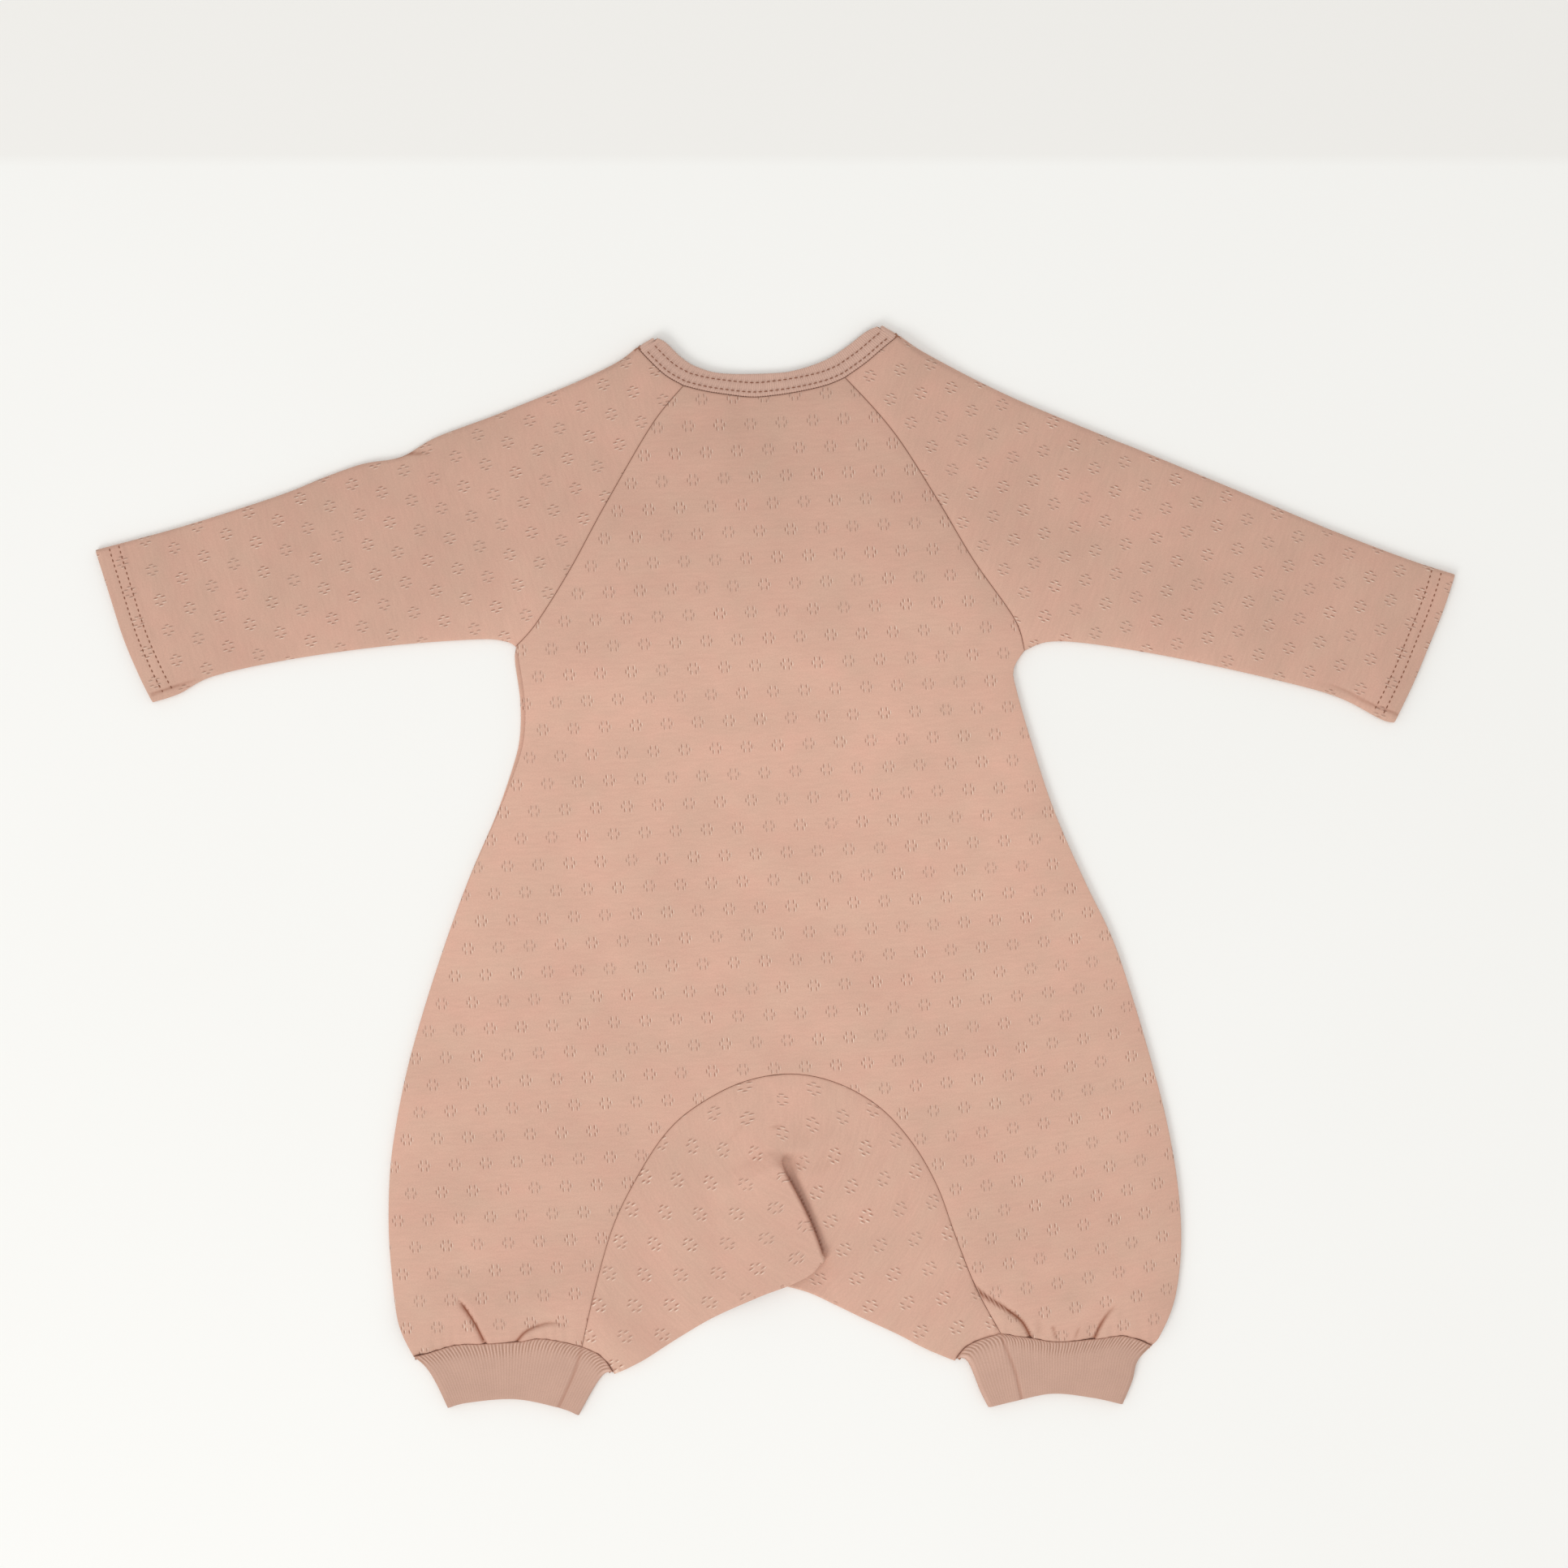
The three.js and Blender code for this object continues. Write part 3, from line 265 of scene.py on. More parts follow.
class Line:
    """A smooth line through points, read by the share of its length.

    Args:
        points: The points, in millimetres.
    """

    STEPS = 32

    def __init__(self, points: Sequence[Sequence[float]]) -> None:
        """Samples the line densely.

        Args:
            points: Its points.
        """
        knots = np.asarray(points, float)
        padded = np.vstack([knots[:1], knots, knots[-1:]])
        t = np.linspace(0, 1, self.STEPS, endpoint=False)[:, None]
        parts = []
        for before, start, end, after in zip(padded, padded[1:], padded[2:], padded[3:]):
            leaving = (end - before) / 2
            arriving = (after - start) / 2
            cubic = 2 * start - 2 * end + leaving + arriving
            square = -3 * start + 3 * end - 2 * leaving - arriving
            parts.append(cubic * t**3 + square * t**2 + leaving * t + start)
        self.dense = np.vstack([*parts, knots[-1:]])
        steps = np.linalg.norm(np.diff(self.dense, axis=0), axis=1)
        self.run = np.concatenate([[0], np.cumsum(steps)])

    @property
    def length(self) -> float:
        """Length of the line in millimetres."""
        return float(self.run[-1])

    def __call__(self, share: Array) -> Array:
        """Reads points.

        Args:
            share: Shares of the length from 0 to 1, of any shape.

        Returns:
            The points, with one more axis than share.
        """
        run = np.clip(share, 0, 1) * self.length
        return np.stack([np.interp(run, self.run, self.dense[:, k]) for k in range(2)], axis=-1)


class Path:
    """Several lines end to end, each taking a stated stretch of the share from 0 to 1."""

    def __init__(self, *stretches: tuple[Line, float]) -> None:
        """Keeps the lines.

        Args:
            *stretches: Each line, and the share at which it ends.
        """
        self.stretches = stretches

    def __call__(self, share: Array) -> Array:
        """Reads points.

        Args:
            share: Shares from 0 to 1, of any shape.

        Returns:
            The points, with one more axis than share.
        """
        share = np.asarray(share, float)
        points = np.zeros((*share.shape, 2))
        start = 0.0
        for line, end in self.stretches:
            inside = (share >= start) & (share <= end)
            points[inside] = line((share[inside] - start) / (end - start))
            start = end
        return points


def chained(*lines: Sequence[Point]) -> Path:
    """Joins lines end to end, each taking the share that its length has of the whole.

    Args:
        *lines: The lines' points.

    Returns:
        The path.
    """
    drawn = [Line(points) for points in lines]
    ends = np.cumsum([line.length for line in drawn])
    shares = [float(end / ends[-1]) for end in ends]
    shares[-1] = 1.0
    return Path(*zip(drawn, shares))


def coons_patch(
    near: Boundary, far: Boundary, left: Boundary, right: Boundary, u: Array, v: Array
) -> Array:
    """Fills the space between four boundaries.

    Args:
        near: Boundary at v = 0, along u.
        far: Boundary at v = 1, along u.
        left: Boundary at u = 0, along v.
        right: Boundary at u = 1, along v.
        u: Shares across, of any shape.
        v: Shares along, of the same shape.

    Returns:
        The points.
    """
    across, along = u[..., None], v[..., None]
    ends = np.array([0.0, 1.0])
    (c00, c10), (c01, c11) = near(ends), far(ends)
    sides = (1 - along) * near(u) + along * far(u) + (1 - across) * left(v) + across * right(v)
    corners = (1 - across) * (1 - along) * c00 + across * (1 - along) * c10
    return sides - corners - (1 - across) * along * c01 - across * along * c11


class Nearness:
    """Distance from points to the nearest of some open lines."""

    def __init__(self, *lines: Sequence[Point], spacing: float = 4.0) -> None:
        """Cuts the lines into short straight stretches.

        Args:
            *lines: The lines' points.
            spacing: Length of a stretch in millimetres.
        """
        starts, ends = [], []
        for points in lines:
            line = Line(points)
            cuts = line(np.linspace(0, 1, max(2, round(line.length / spacing)) + 1))
            starts.append(cuts[:-1])
            ends.append(cuts[1:])
        self.starts = np.vstack(starts)
        self.ends = np.vstack(ends)

    def __call__(self, points: Array) -> Array:
        """Measures distances in millimetres to points of any shape, with x and y last."""
        return np.abs(self.located(points)[0])

    def located(self, points: Array) -> tuple[Array, Array, Array]:
        """Finds the nearest place on the lines.

        Args:
            points: Points of any shape, with x and y last.

        Returns:
            Distances in millimetres, positive to the left of a line's run, the nearest places,
            and how far through the stretches they lie, from 0 to 1.
        """
        flat = points.reshape(-1, 2)
        nearest = np.full(len(flat), np.inf)
        side = np.ones(len(flat))
        place = np.zeros_like(flat)
        through = np.zeros(len(flat))
        for number, (start, end) in enumerate(zip(self.starts, self.ends)):
            step = end - start
            offset = flat - start
            along = np.clip(offset @ step / (step @ step), 0, 1)
            gap = offset - along[:, None] * step
            square = np.einsum("ij,ij->i", gap, gap)
            closer = square < nearest
            nearest[closer] = square[closer]
            side[closer] = np.where(step[0] * offset[closer, 1] - step[1] * offset[closer, 0] < 0, -1, 1)
            place[closer] = flat[closer] - gap[closer]
            through[closer] = (number + along[closer]) / len(self.starts)
        shape = points.shape[:-1]
        signed = (side * np.sqrt(nearest)).reshape(shape)
        return signed, place.reshape(points.shape), through.reshape(shape)


def bell(q: Array) -> Array:
    """A soft bump that is 1 at 0 and fades past 1."""
    return np.exp(-(q**2))


def eased(value: Array, start: float, end: float) -> Array:
    """A smooth step from 0 at start to 1 at end."""
    share = np.clip((value - start) / (end - start), 0, 1)
    return share * share * (3 - 2 * share)


def waves(points: Array, length: float, seed: int) -> Array:
    """Gentle random waves of cloth, from -1 to 1.

    Args:
        points: Points with x and y last, in millimetres.
        length: Typical wave length in millimetres.
        seed: Seed of the waves' directions and phases.

    Returns:
        The waves' height.
    """
    rng = np.random.default_rng(seed)
    total = np.zeros(points.shape[:-1])
    for _ in range(7):
        angle, phase = rng.uniform(0, 2 * math.pi, 2)
        number = 2 * math.pi / (length * rng.uniform(0.7, 1.5))
        run = points[..., 0] * math.cos(angle) + points[..., 1] * math.sin(angle)
        total += np.sin(number * run + phase)
    return total / 4


def graded(length: float, *bands: tuple[float, float]) -> Array:
    """Shares of a length at spacings that change along it.

    Args:
        length: The length in millimetres.
        *bands: The distance up to which each spacing holds, and the spacing. A distance that
            isn't positive counts back from the end.

    Returns:
        The shares from 0 to 1.
    """
    runs = [0.0]
    for until, step in bands:
        end = until if until > 0 else length + until
        count = max(1, round((end - runs[-1]) / step))
        runs.extend(np.linspace(runs[-1], end, count + 1)[1:])
    return np.array(runs) / length


def close_to(middle: float) -> tuple[tuple[float, float], ...]:
    """Bands that are fine at both ends of a length, with the given spacing between them."""
    return (*FINE_START, (-2.2, middle), *FINE_END)


@dataclass
class LaidCloth:
    """How high the upper ply lies above the surface under the garment, in millimetres, and the painted
    shade of its seams and creases.
    """

    dome_rise: float = 3.0
    dome_reach: float = 12.0
    cuff_dome_rise: float = 1.2
    neck_lift: float = 2.2
    neck_lift_reach: float = 22.0
    seam_dip: float = 0.55
    seam_dip_reach: float = 3.5
    groove: float = 0.3
    groove_reach: float = 0.6
    # Painted shade in the seams and in the creases' grooves: how dark and how wide
    seam_shade: float = 0.42
    seam_shade_reach: float = 0.4
    crease_step: float = 1.1
    crease_groove_reach: float = 0.9
    crease_shade_reach: float = 0.7
    darkest_crease_shade: float = 1.2
    snap_reach: float = 0.55
    sharp_groove: float = 0.5
    leg_puff: float = 1.8
    leg_puff_from_cuff: float = 15.0
    leg_puff_reach: float = 12.0
    gather: float = 0.42
    gather_pitch: float = 6.2
    gather_reach: float = 8.0
    wave: float = 0.16
    wave_lengths: tuple[float, float] = (46, 17)
    sag: float = 0.2

    def __post_init__(self) -> None:
        """Sets out the lines that the height follows."""
        self.outer_edge = Nearness(
            LEFT_HEM, LEFT_SLEEVE_TOP, LEFT_SLEEVE_UNDER, RIGHT_HEM, RIGHT_SLEEVE_TOP,
            RIGHT_SLEEVE_UNDER, NECK_FREE_EDGE, (LEFT_SHOULDER, LEFT_TIP),
            (RIGHT_TIP, RIGHT_SHOULDER), LEFT_SIDE, RIGHT_SIDE, LEFT_CUFF_OUTER, LEFT_CUFF_END,
            LEFT_CUFF_INNER, RIGHT_CUFF_INNER, RIGHT_CUFF_END, RIGHT_CUFF_OUTER,
            LEFT_CROTCH_FOLD, RIGHT_CROTCH_FOLD,
        )
        self.front_neck = Nearness(LEFT_FRONT_NECK, FRONT_NECK_SEAM, RIGHT_FRONT_NECK)
        self.seams = Nearness(
            LEFT_RAGLAN, RIGHT_RAGLAN, ARCH, LEFT_NECK_SEAM, BACK_NECK_SEAM, RIGHT_NECK_SEAM,
            LEFT_LEG_SEAM, RIGHT_LEG_SEAM, LEFT_GUSSET_SEAM, RIGHT_GUSSET_SEAM, spacing=2.5,
        )
        self.cuff_seams = Nearness(
            LEFT_LEG_SEAM, RIGHT_LEG_SEAM, LEFT_GUSSET_SEAM, RIGHT_GUSSET_SEAM, spacing=2.5
        )
        self.creases = [(crease, Nearness(crease.line, spacing=1.5)) for crease in CREASES]

    def gathers(self, points: Array, to_cuff: Array) -> Array:
        """Small gathers that run out of a cuff's seam into the leg.

        Args:
            points: Points with x and y last.
            to_cuff: Their distances to a cuff's seam.

        Returns:
            The gathers' height.
        """
        uneven = points[..., 0] + 1.8 * np.sin(points[..., 0] / 4.3)
        beat = 0.6 + 0.4 * np.sin(uneven / 9.1 + 1.0)
        ripple = np.sin(2 * math.pi * uneven / self.gather_pitch)
        return self.gather * beat * ripple * np.exp(-to_cuff / self.gather_reach)

    def upper(self, points: Array) -> Array:
        """Top of the upper ply.

        Args:
            points: Points with x and y last, in millimetres.

        Returns:
            The heights in millimetres.
        """
        edge = self.outer_edge(points)
        inside = 1 - np.exp(-edge / self.dome_reach)
        height = EDGE_HEIGHT + self.dome_rise * inside
        height += self.neck_lift * bell(self.front_neck(points) / self.neck_lift_reach)
        seam = self.seams(points)
        height -= self.seam_dip * bell(seam / self.seam_dip_reach)
        height -= self.groove * bell(seam / self.groove_reach)
        to_cuff = self.cuff_seams(points)
        height += self.leg_puff * bell((to_cuff - self.leg_puff_from_cuff) / self.leg_puff_reach)
        height += self.gathers(points, to_cuff)
        for crease, line in self.creases:
            height += self.creased(crease, line, points)
        long, short = self.wave_lengths
        height += self.wave * inside * (waves(points, long, 3) + 0.5 * waves(points, short, 8))
        return np.maximum(height, EDGE_HEIGHT - self.sag)

    def creased(self, crease: Crease, line: Nearness, points: Array) -> Array:
        """Height that a crease adds.

        Args:
            crease: The crease.
            line: Its line.
            points: Points with x and y last.

        Returns:
            The heights, negative in the groove.
        """
        signed, _, through = line.located(points)
        full = eased(through, 0, crease.fade)
        if not crease.held:
            full = full * eased(1 - through, 0, crease.fade)
        distance = np.abs(signed)
        swell = np.where(signed > 0, crease.left, crease.right) * bell(distance / crease.reach)
        groove = crease.groove * np.exp(-distance / self.crease_groove_reach)
        if crease.groove:
            swell = swell * (1 - np.exp(-distance / self.crease_step))
        return full * (swell - groove)

    def crease_shade(self, points: Array) -> Array:
        """Painted shade in the creases' grooves.

        Args:
            points: Points with x and y last.

        Returns:
            The painted shade, 1 in the groove of a deep crease.
        """
        shade = np.zeros(points.shape[:-1])
        for crease, line in self.creases:
            if crease.groove:
                signed, _, through = line.located(points)
                depth = min(self.darkest_crease_shade, crease.groove)
                full = eased(through, 0, 2 * crease.fade) * depth
                shade = np.maximum(shade, full * bell(signed / self.crease_shade_reach))
        return shade

    def painted_seam_shade(self, points: Array) -> Array:
        """Painted shade of the seams and the creases at points with x and y last."""
        seams = self.seam_shade * bell(self.seams(points) / self.seam_shade_reach)
        return np.maximum(seams, self.crease_shade(points))

    def snapped(self, grid: Array, reach: float) -> Array:
        """Moves grid points that lie close to a sharp crease onto its line.

        Args:
            grid: Flat points in rows and columns.
            reach: How close they have to be, in millimetres.

        Returns:
            The moved points.
        """
        moved = grid.copy()
        inner = moved[2:-2, 2:-2]
        for crease, line in self.creases:
            if crease.groove >= self.sharp_groove:
                signed, place, _ = line.located(inner)
                near = np.abs(signed) < reach
                inner[near] = place[near]
        return moved

    def cuff(self, points: Array) -> Array:
        """Top of a cuff's upper ply, for points with x and y last."""
        inside = 1 - np.exp(-self.outer_edge(points) / self.dome_reach)
        return CUFF_EDGE_HEIGHT + self.cuff_dome_rise * inside


def moved_inside(line: Array, beside: Array, distance: float) -> Array:
    """Moves a line of grid points towards the line beside it, square to its own run.

    Args:
        line: The points of the grid's outermost line.
        beside: The points of the next line.
        distance: How far to move, in millimetres.

    Returns:
        The moved points.
    """
    run = np.gradient(line, axis=0)
    inward = np.stack([-run[:, 1], run[:, 0]], axis=-1)
    inward /= np.maximum(np.linalg.norm(inward, axis=1, keepdims=True), 1e-9)
    side = np.sign(np.sum(inward * (beside - line), axis=1, keepdims=True))
    return line + inward * side * distance


def trimmed(grid: Array, *sides: str) -> Array:
    """Takes half a seam gap off the named sides of a grid.

    Args:
        grid: Points in rows and columns.
        *sides: Any of first, last, left and right.

    Returns:
        The trimmed grid.
    """
    grid = grid.copy()
    views = {
        "first": grid,
        "last": grid[::-1],
        "left": grid.swapaxes(0, 1),
        "right": grid[:, ::-1].swapaxes(0, 1),
    }
    for side in sides:
        view = views[side]
        view[0] = moved_inside(view[0], view[1], SEAM_GAP / 2)
    return grid


def raised(points: Array, height: Array | float) -> Array:
    """Adds a height to flat points."""
    level = np.broadcast_to(np.asarray(height, float), points.shape[:-1])
    return np.concatenate([points, level[..., None]], axis=-1)


def edge_rounding(distance: Array, radius: float) -> Array:
    """How far a wall's face draws back near its cut edge.

    Args:
        distance: Distances to the edge.
        radius: Radius of the rounded edge.

    Returns:
        The depth from the flat face.
    """
    share = 1 - np.clip(distance / radius, 0, 1)
    return radius * (1 - np.sqrt(1 - share**2 * 0.97))


def border_distance(grid: Array) -> Array:
    """Rough distance of a grid's points to its four sides, measured along rows and columns.

    Args:
        grid: Points in rows and columns.

    Returns:
        The distances in millimetres.
    """
    down = np.linalg.norm(np.diff(grid, axis=0), axis=-1)
    across = np.linalg.norm(np.diff(grid, axis=1), axis=-1)
    zero_row = np.zeros((1, grid.shape[1]))
    zero_column = np.zeros((grid.shape[0], 1))
    from_first = np.vstack([zero_row, np.cumsum(down, axis=0)])
    from_left = np.hstack([zero_column, np.cumsum(across, axis=1)])
    ends = [from_first, from_first[-1:] - from_first, from_left, from_left[:, -1:] - from_left]
    return np.minimum.reduce(ends)


@dataclass
class Grain:
    """The run of the knit on a piece: v follows the wales, u the courses, both in millimetres.

    Attributes:
        angle: Direction of the wales in degrees from +X.
        rise: Extra slope of the courses, as a share.
        origin: Point at which u and v are 0.
    """

    angle: float = 90.0
    rise: float = 0.0
    origin: Point = (0.0, 0.0)

    def uv(self, points: Array) -> Array:
        """Finds places on the cloth.

        Args:
            points: Points with x and y last.

        Returns:
            The places, with u and v last.
        """
        turn = math.radians(self.angle)
        x = points[..., 0] - self.origin[0]
        y = points[..., 1] - self.origin[1]
        v = x * math.cos(turn) + y * math.sin(turn)
        u = x * math.sin(turn) - y * math.cos(turn)
        return np.stack([u, v - self.rise * u], axis=-1)


@dataclass
class BodyGrain(Grain):
    """The grain of a body panel, whose courses climb towards the lower right.

    Attributes:
        climb: How fast the courses steepen towards the lower right.
        lean: Slope of the wales, as a share.
        right_of: Where they begin to climb.
        below: Between which heights the climb grows to its full share, downwards.
    """

    climb: float = 0.000462
    lean: float = 0.085
    right_of: float = 20.0
    below: tuple[float, float] = (40.0, -120.0)

    def uv(self, points: Array) -> Array:
        """Finds places on the cloth.

        Args:
            points: Points with x and y last.

        Returns:
            The places, with u and v last.
        """
        flat = super().uv(points)
        right = np.maximum(points[..., 0] - self.right_of, 0)
        low = eased(points[..., 1], *self.below)
        flat[..., 1] -= self.climb * right**2 * low
        flat[..., 0] += self.lean * (points[..., 1] - self.origin[1])
        return flat


def add_node(
    tree: bpy.types.NodeTree, kind: str, inputs: dict | None = None, **settings: object
) -> bpy.types.Node:
    """Adds a node with its settings and links.

    Args:
        tree: The node tree.
        kind: The node's type name.
        inputs: Input sockets, by name or number, with a value or the output socket to link.
        **settings: Properties of the node.

    Returns:
        The node.
    """
    node = tree.nodes.new(kind)
    for name, value in settings.items():
        setattr(node, name, value)
    for key, value in (inputs or {}).items():
        if isinstance(value, Socket):
            tree.links.new(value, node.inputs[key])
        else:
            node.inputs[key].default_value = value
    return node


def linear(colour: str) -> tuple[float, float, float, float]:
    """Turns an sRGB hex colour into a linear one with alpha 1.

    Args:
        colour: The colour, as # and six digits.

    Returns:
        Red, green, blue and alpha.
    """
    channels = [int(colour[i : i + 2], 16) / 255 for i in (1, 3, 5)]
    light = [c / 12.92 if c <= 0.04045 else ((c + 0.055) / 1.055) ** 2.4 for c in channels]
    return (*light, 1.0)


class Tree:
    """A material's nodes, with short names for the ones that the cloths share."""

    def __init__(self, name: str) -> None:
        """Makes a new material.

        Args:
            name: Its name.
        """
        self.material = bpy.data.materials.new(name)
        self.material.use_nodes = True
        self.tree = self.material.node_tree
        self.shader = self.tree.nodes["Principled BSDF"]
        self.place = self.add("ShaderNodeUVMap", uv_map="cloth").outputs[0]

    def add(self, kind: str, inputs: dict | None = None, **settings: object) -> bpy.types.Node:
        """Adds a node, as add_node does."""
        return add_node(self.tree, kind, inputs, **settings)

    def math(self, operation: str, *values: object) -> Socket:
        """Adds a math node and returns its output."""
        return self.add("ShaderNodeMath", dict(enumerate(values)), operation=operation).outputs[0]

    def noise(self, across: float, along: float, detail: float = 3.0) -> Socket:
        """Noise over the cloth.

        Args:
            across: Size of its grain along the courses, in millimetres.
            along: Size of its grain along the wales.
            detail: Octaves of finer grain.

        Returns:
            The noise's output.
        """
        scaled = self.add("ShaderNodeMapping", {0: self.place, 3: (1 / across, 1 / along, 1)})
        settings = {0: scaled.outputs[0], "Scale": 1.0, "Detail": detail, "Roughness": 0.62}
        return self.add("ShaderNodeTexNoise", settings).outputs[0]

    def ramp(self, value: Socket, start: float, end: float, low: float, high: float) -> Socket:
        """Maps a value from one range to another and keeps it there."""
        return self.add("ShaderNodeMapRange", {0: value, 1: start, 2: end, 3: low, 4: high}).outputs[0]

    def mix(self, share: object, first: object, second: object, blend: str = "MIX") -> Socket:
        """Mixes two colours."""
        inputs = {0: share, 6: first, 7: second}
        return self.add("ShaderNodeMix", inputs, data_type="RGBA", blend_type=blend).outputs[2]

    def painted_light_falloff(self) -> Socket:
        """Painted light falloff: a share that darkens the colour towards the garment's far ends and its
        lower part.

        Returns:
            The share's output.
        """
        place = self.add("ShaderNodeTexCoord").outputs["Object"]
        moved = self.add("ShaderNodeMapping", {0: place, 1: (0, 0.286, 0), 3: (1 / 0.36, 1 / 0.28, 0)})
        away = self.add("ShaderNodeVectorMath", {0: moved.outputs[0]}, operation="LENGTH")
        ends = self.ramp(away.outputs[1], 0.64, 0.95, 1.0, 0.875)
        height = self.add("ShaderNodeSeparateXYZ", {0: place}).outputs[1]
        return self.math("MULTIPLY", ends, self.ramp(height, -0.15, 0.0, 0.95, 1.0))

    def matt(self, colour: Socket, height: Socket, depth: float) -> Material:
        """Finishes a soft matt cloth with a faint sheen, its colour darkened by the painted light falloff.

        Args:
            colour: Its colour.
            height: Its fine relief.
            depth: Height of the relief in millimetres.

        Returns:
            The material.
        """
        sockets = self.shader.inputs
        sockets["Roughness"].default_value = 0.9
        sockets["Specular IOR Level"].default_value = 0.22
        sockets["Sheen Weight"].default_value = 0.2
        sockets["Sheen Roughness"].default_value = 0.5
        sockets["Sheen Tint"].default_value = linear("#F2D9CC")
        relief = {"Strength": 0.9, "Distance": depth * MM, "Height": height}
        bump = self.add("ShaderNodeBump", relief).outputs[0]
        # Painted light falloff: the colour is multiplied darker towards the garment's ends and lower part.
        falloff_darkened = self.mix(1.0, colour, self.painted_light_falloff(), "MULTIPLY")
        self.tree.links.new(falloff_darkened, sockets["Base Color"])
        self.tree.links.new(bump, sockets["Normal"])
        return self.material


@dataclass(frozen=True)
class PointelleJersey:
    """Cotton double jersey with small flowers of moved stitches.

    It is matt and slightly fuzzy, so the light spreads softly over it. The dye is uneven, in
    faint streaks along the courses, and each flower is a ring of six short slits, with painted
    shade inside each slit and a painted highlight on the pale loop beside it.
    """

    name: str = "cotton pointelle jersey"
    pink: str = "#DDAF9C"
    tan: str = "#D8B19D"  # the dye's paler patches
    shade: str = "#A24F2D"  # painted shade inside a slit
    fold: str = "#8F4D32"  # painted shade deep in a seam or a crease
    loop_highlight: str = "#F8DCC9"  # painted highlight on the pale loop beside a slit
    motif_across: float = 15.3
    motif_rows: float = 13.2
    slit_half_width: float = 0.26
    slit_half_length: float = 1.0
    slits: Outline = ((1.25, 1.85), (2.55, 0.0), (1.3, -1.8))
    loop_shift: float = 0.6
    slit_strength: float = 0.62
    patch: tuple[float, float] = (26.0, 20.0)
    cloud: tuple[float, float] = (52.0, 34.0)
    streak: tuple[float, float] = (9.0, 1.6)
    faint_flower_spot: float = 2.2
    fibre: float = 0.8

    def make(self) -> Material:
        """Builds the material.

        Returns:
            The material.
        """
        t = Tree(self.name)
        patches = t.ramp(t.noise(*self.patch, 6.0), 0.3, 0.7, 0.0, 1.0)
        dyed = t.mix(patches, linear(self.tan), linear(self.pink))
        fibres = t.noise(self.fibre, self.fibre)
        heather = t.ramp(fibres, 0.3, 0.7, 0.95, 1.05)
        streaks = t.ramp(t.noise(*self.streak), 0.32, 0.68, 0.965, 1.025)
        clouds = t.ramp(t.noise(*self.cloud, 2.0), 0.35, 0.65, 0.96, 1.02)
        uneven = t.math("MULTIPLY", heather, t.math("MULTIPLY", streaks, clouds))
        tinted = t.mix(1.0, dyed, uneven, "MULTIPLY")
        cell, number = self.motif_cell(t)
        slit = t.ramp(self.slit_distance(t, cell, 0.0), 0.5, 1.35, 1.0, 0.0)
        loop = t.ramp(self.slit_distance(t, cell, self.loop_shift), 0.5, 1.6, 1.0, 0.0)
        each = t.add("ShaderNodeTexWhiteNoise", {0: number}, noise_dimensions="2D").outputs[0]
        # Spots and flowers where the slits' painted shade and the loops' painted highlight are fainter
        spots = t.ramp(t.noise(self.faint_flower_spot, self.faint_flower_spot, 1.0), 0.35, 0.6, 0.3, 1.0)
        clear = t.math("MULTIPLY", t.ramp(each, 0.0, 1.0, 0.35, 1.0), spots)
        # Painted highlight: the pale loop beside each slit is painted lighter
        loop_highlighted = t.mix(t.math("MULTIPLY", loop, clear), tinted, linear(self.loop_highlight))
        # Painted shade: each slit is painted darker inside
        slit_shading = t.math("MULTIPLY", slit, t.math("MULTIPLY", clear, self.slit_strength))
        with_slit_shade = t.mix(slit_shading, loop_highlighted, linear(self.shade))
        seam = t.add("ShaderNodeAttribute", attribute_name="seam").outputs["Fac"]
        # Painted shade of the seams and creases, read from the seam mark
        final = t.mix(t.math("MULTIPLY", seam, 0.8), with_slit_shade, linear(self.fold))
        relief = t.math("SUBTRACT", t.math("MULTIPLY", loop, 0.6), slit)
        return t.matt(final, t.math("MULTIPLY_ADD", fibres, 0.28, relief), 0.32)

    def slit_distance(self, t: Tree, cell: Socket, shift: float) -> Socket:
        """Distance to the nearest slit of a flower, 1 at a slit's rim.

        Args:
            t: The material's nodes.
            cell: Place within the flower's cell, in millimetres from its middle.
            shift: How far the slits are moved along the courses.

        Returns:
            The distance's output.
        """
        moved = t.add("ShaderNodeVectorMath", {0: cell, 1: (shift, 0, 0)}, operation="SUBTRACT")
        scale = (1 / self.slit_half_width, 1 / self.slit_half_length, 0)
        nearest = None
        for x, y in [(side * x, y) for x, y in self.slits for side in (-1, 1)]:
            place = {0: moved.outputs[0], 1: (x, y, 0)}
            place = {0: t.add("ShaderNodeVectorMath", place, operation="SUBTRACT").outputs[0], 1: scale}
            place = {0: t.add("ShaderNodeVectorMath", place, operation="MULTIPLY").outputs[0]}
            length = t.add("ShaderNodeVectorMath", place, operation="LENGTH").outputs[1]
            nearest = length if nearest is None else t.math("MINIMUM", nearest, length)
        return nearest

    def motif_cell(self, t: Tree) -> tuple[Socket, Socket]:
        """Place within a half-drop repeat of the flowers.

        Args:
            t: The material's nodes.

        Returns:
            The place in the cell, in millimetres from its middle, and the cell's number.
        """
        parts = t.add("ShaderNodeSeparateXYZ", {0: t.place})
        rows = t.math("DIVIDE", parts.outputs[1], self.motif_rows)
        row = t.math("FLOOR", rows)
        drop = t.math("MULTIPLY", t.math("FLOORED_MODULO", row, 2.0), 0.5)
        column = t.math("ADD", t.math("DIVIDE", parts.outputs[0], self.motif_across), drop)
        number = t.math("FLOOR", column)
        u = t.math("SUBTRACT", t.math("SUBTRACT", column, number), 0.5)
        v = t.math("SUBTRACT", t.math("SUBTRACT", rows, row), 0.5)
        cell = t.add(
            "ShaderNodeCombineXYZ",
            {0: t.math("MULTIPLY", u, self.motif_across), 1: t.math("MULTIPLY", v, self.motif_rows)},
        )
        return cell.outputs[0], t.add("ShaderNodeCombineXYZ", {0: number, 1: row}).outputs[0]


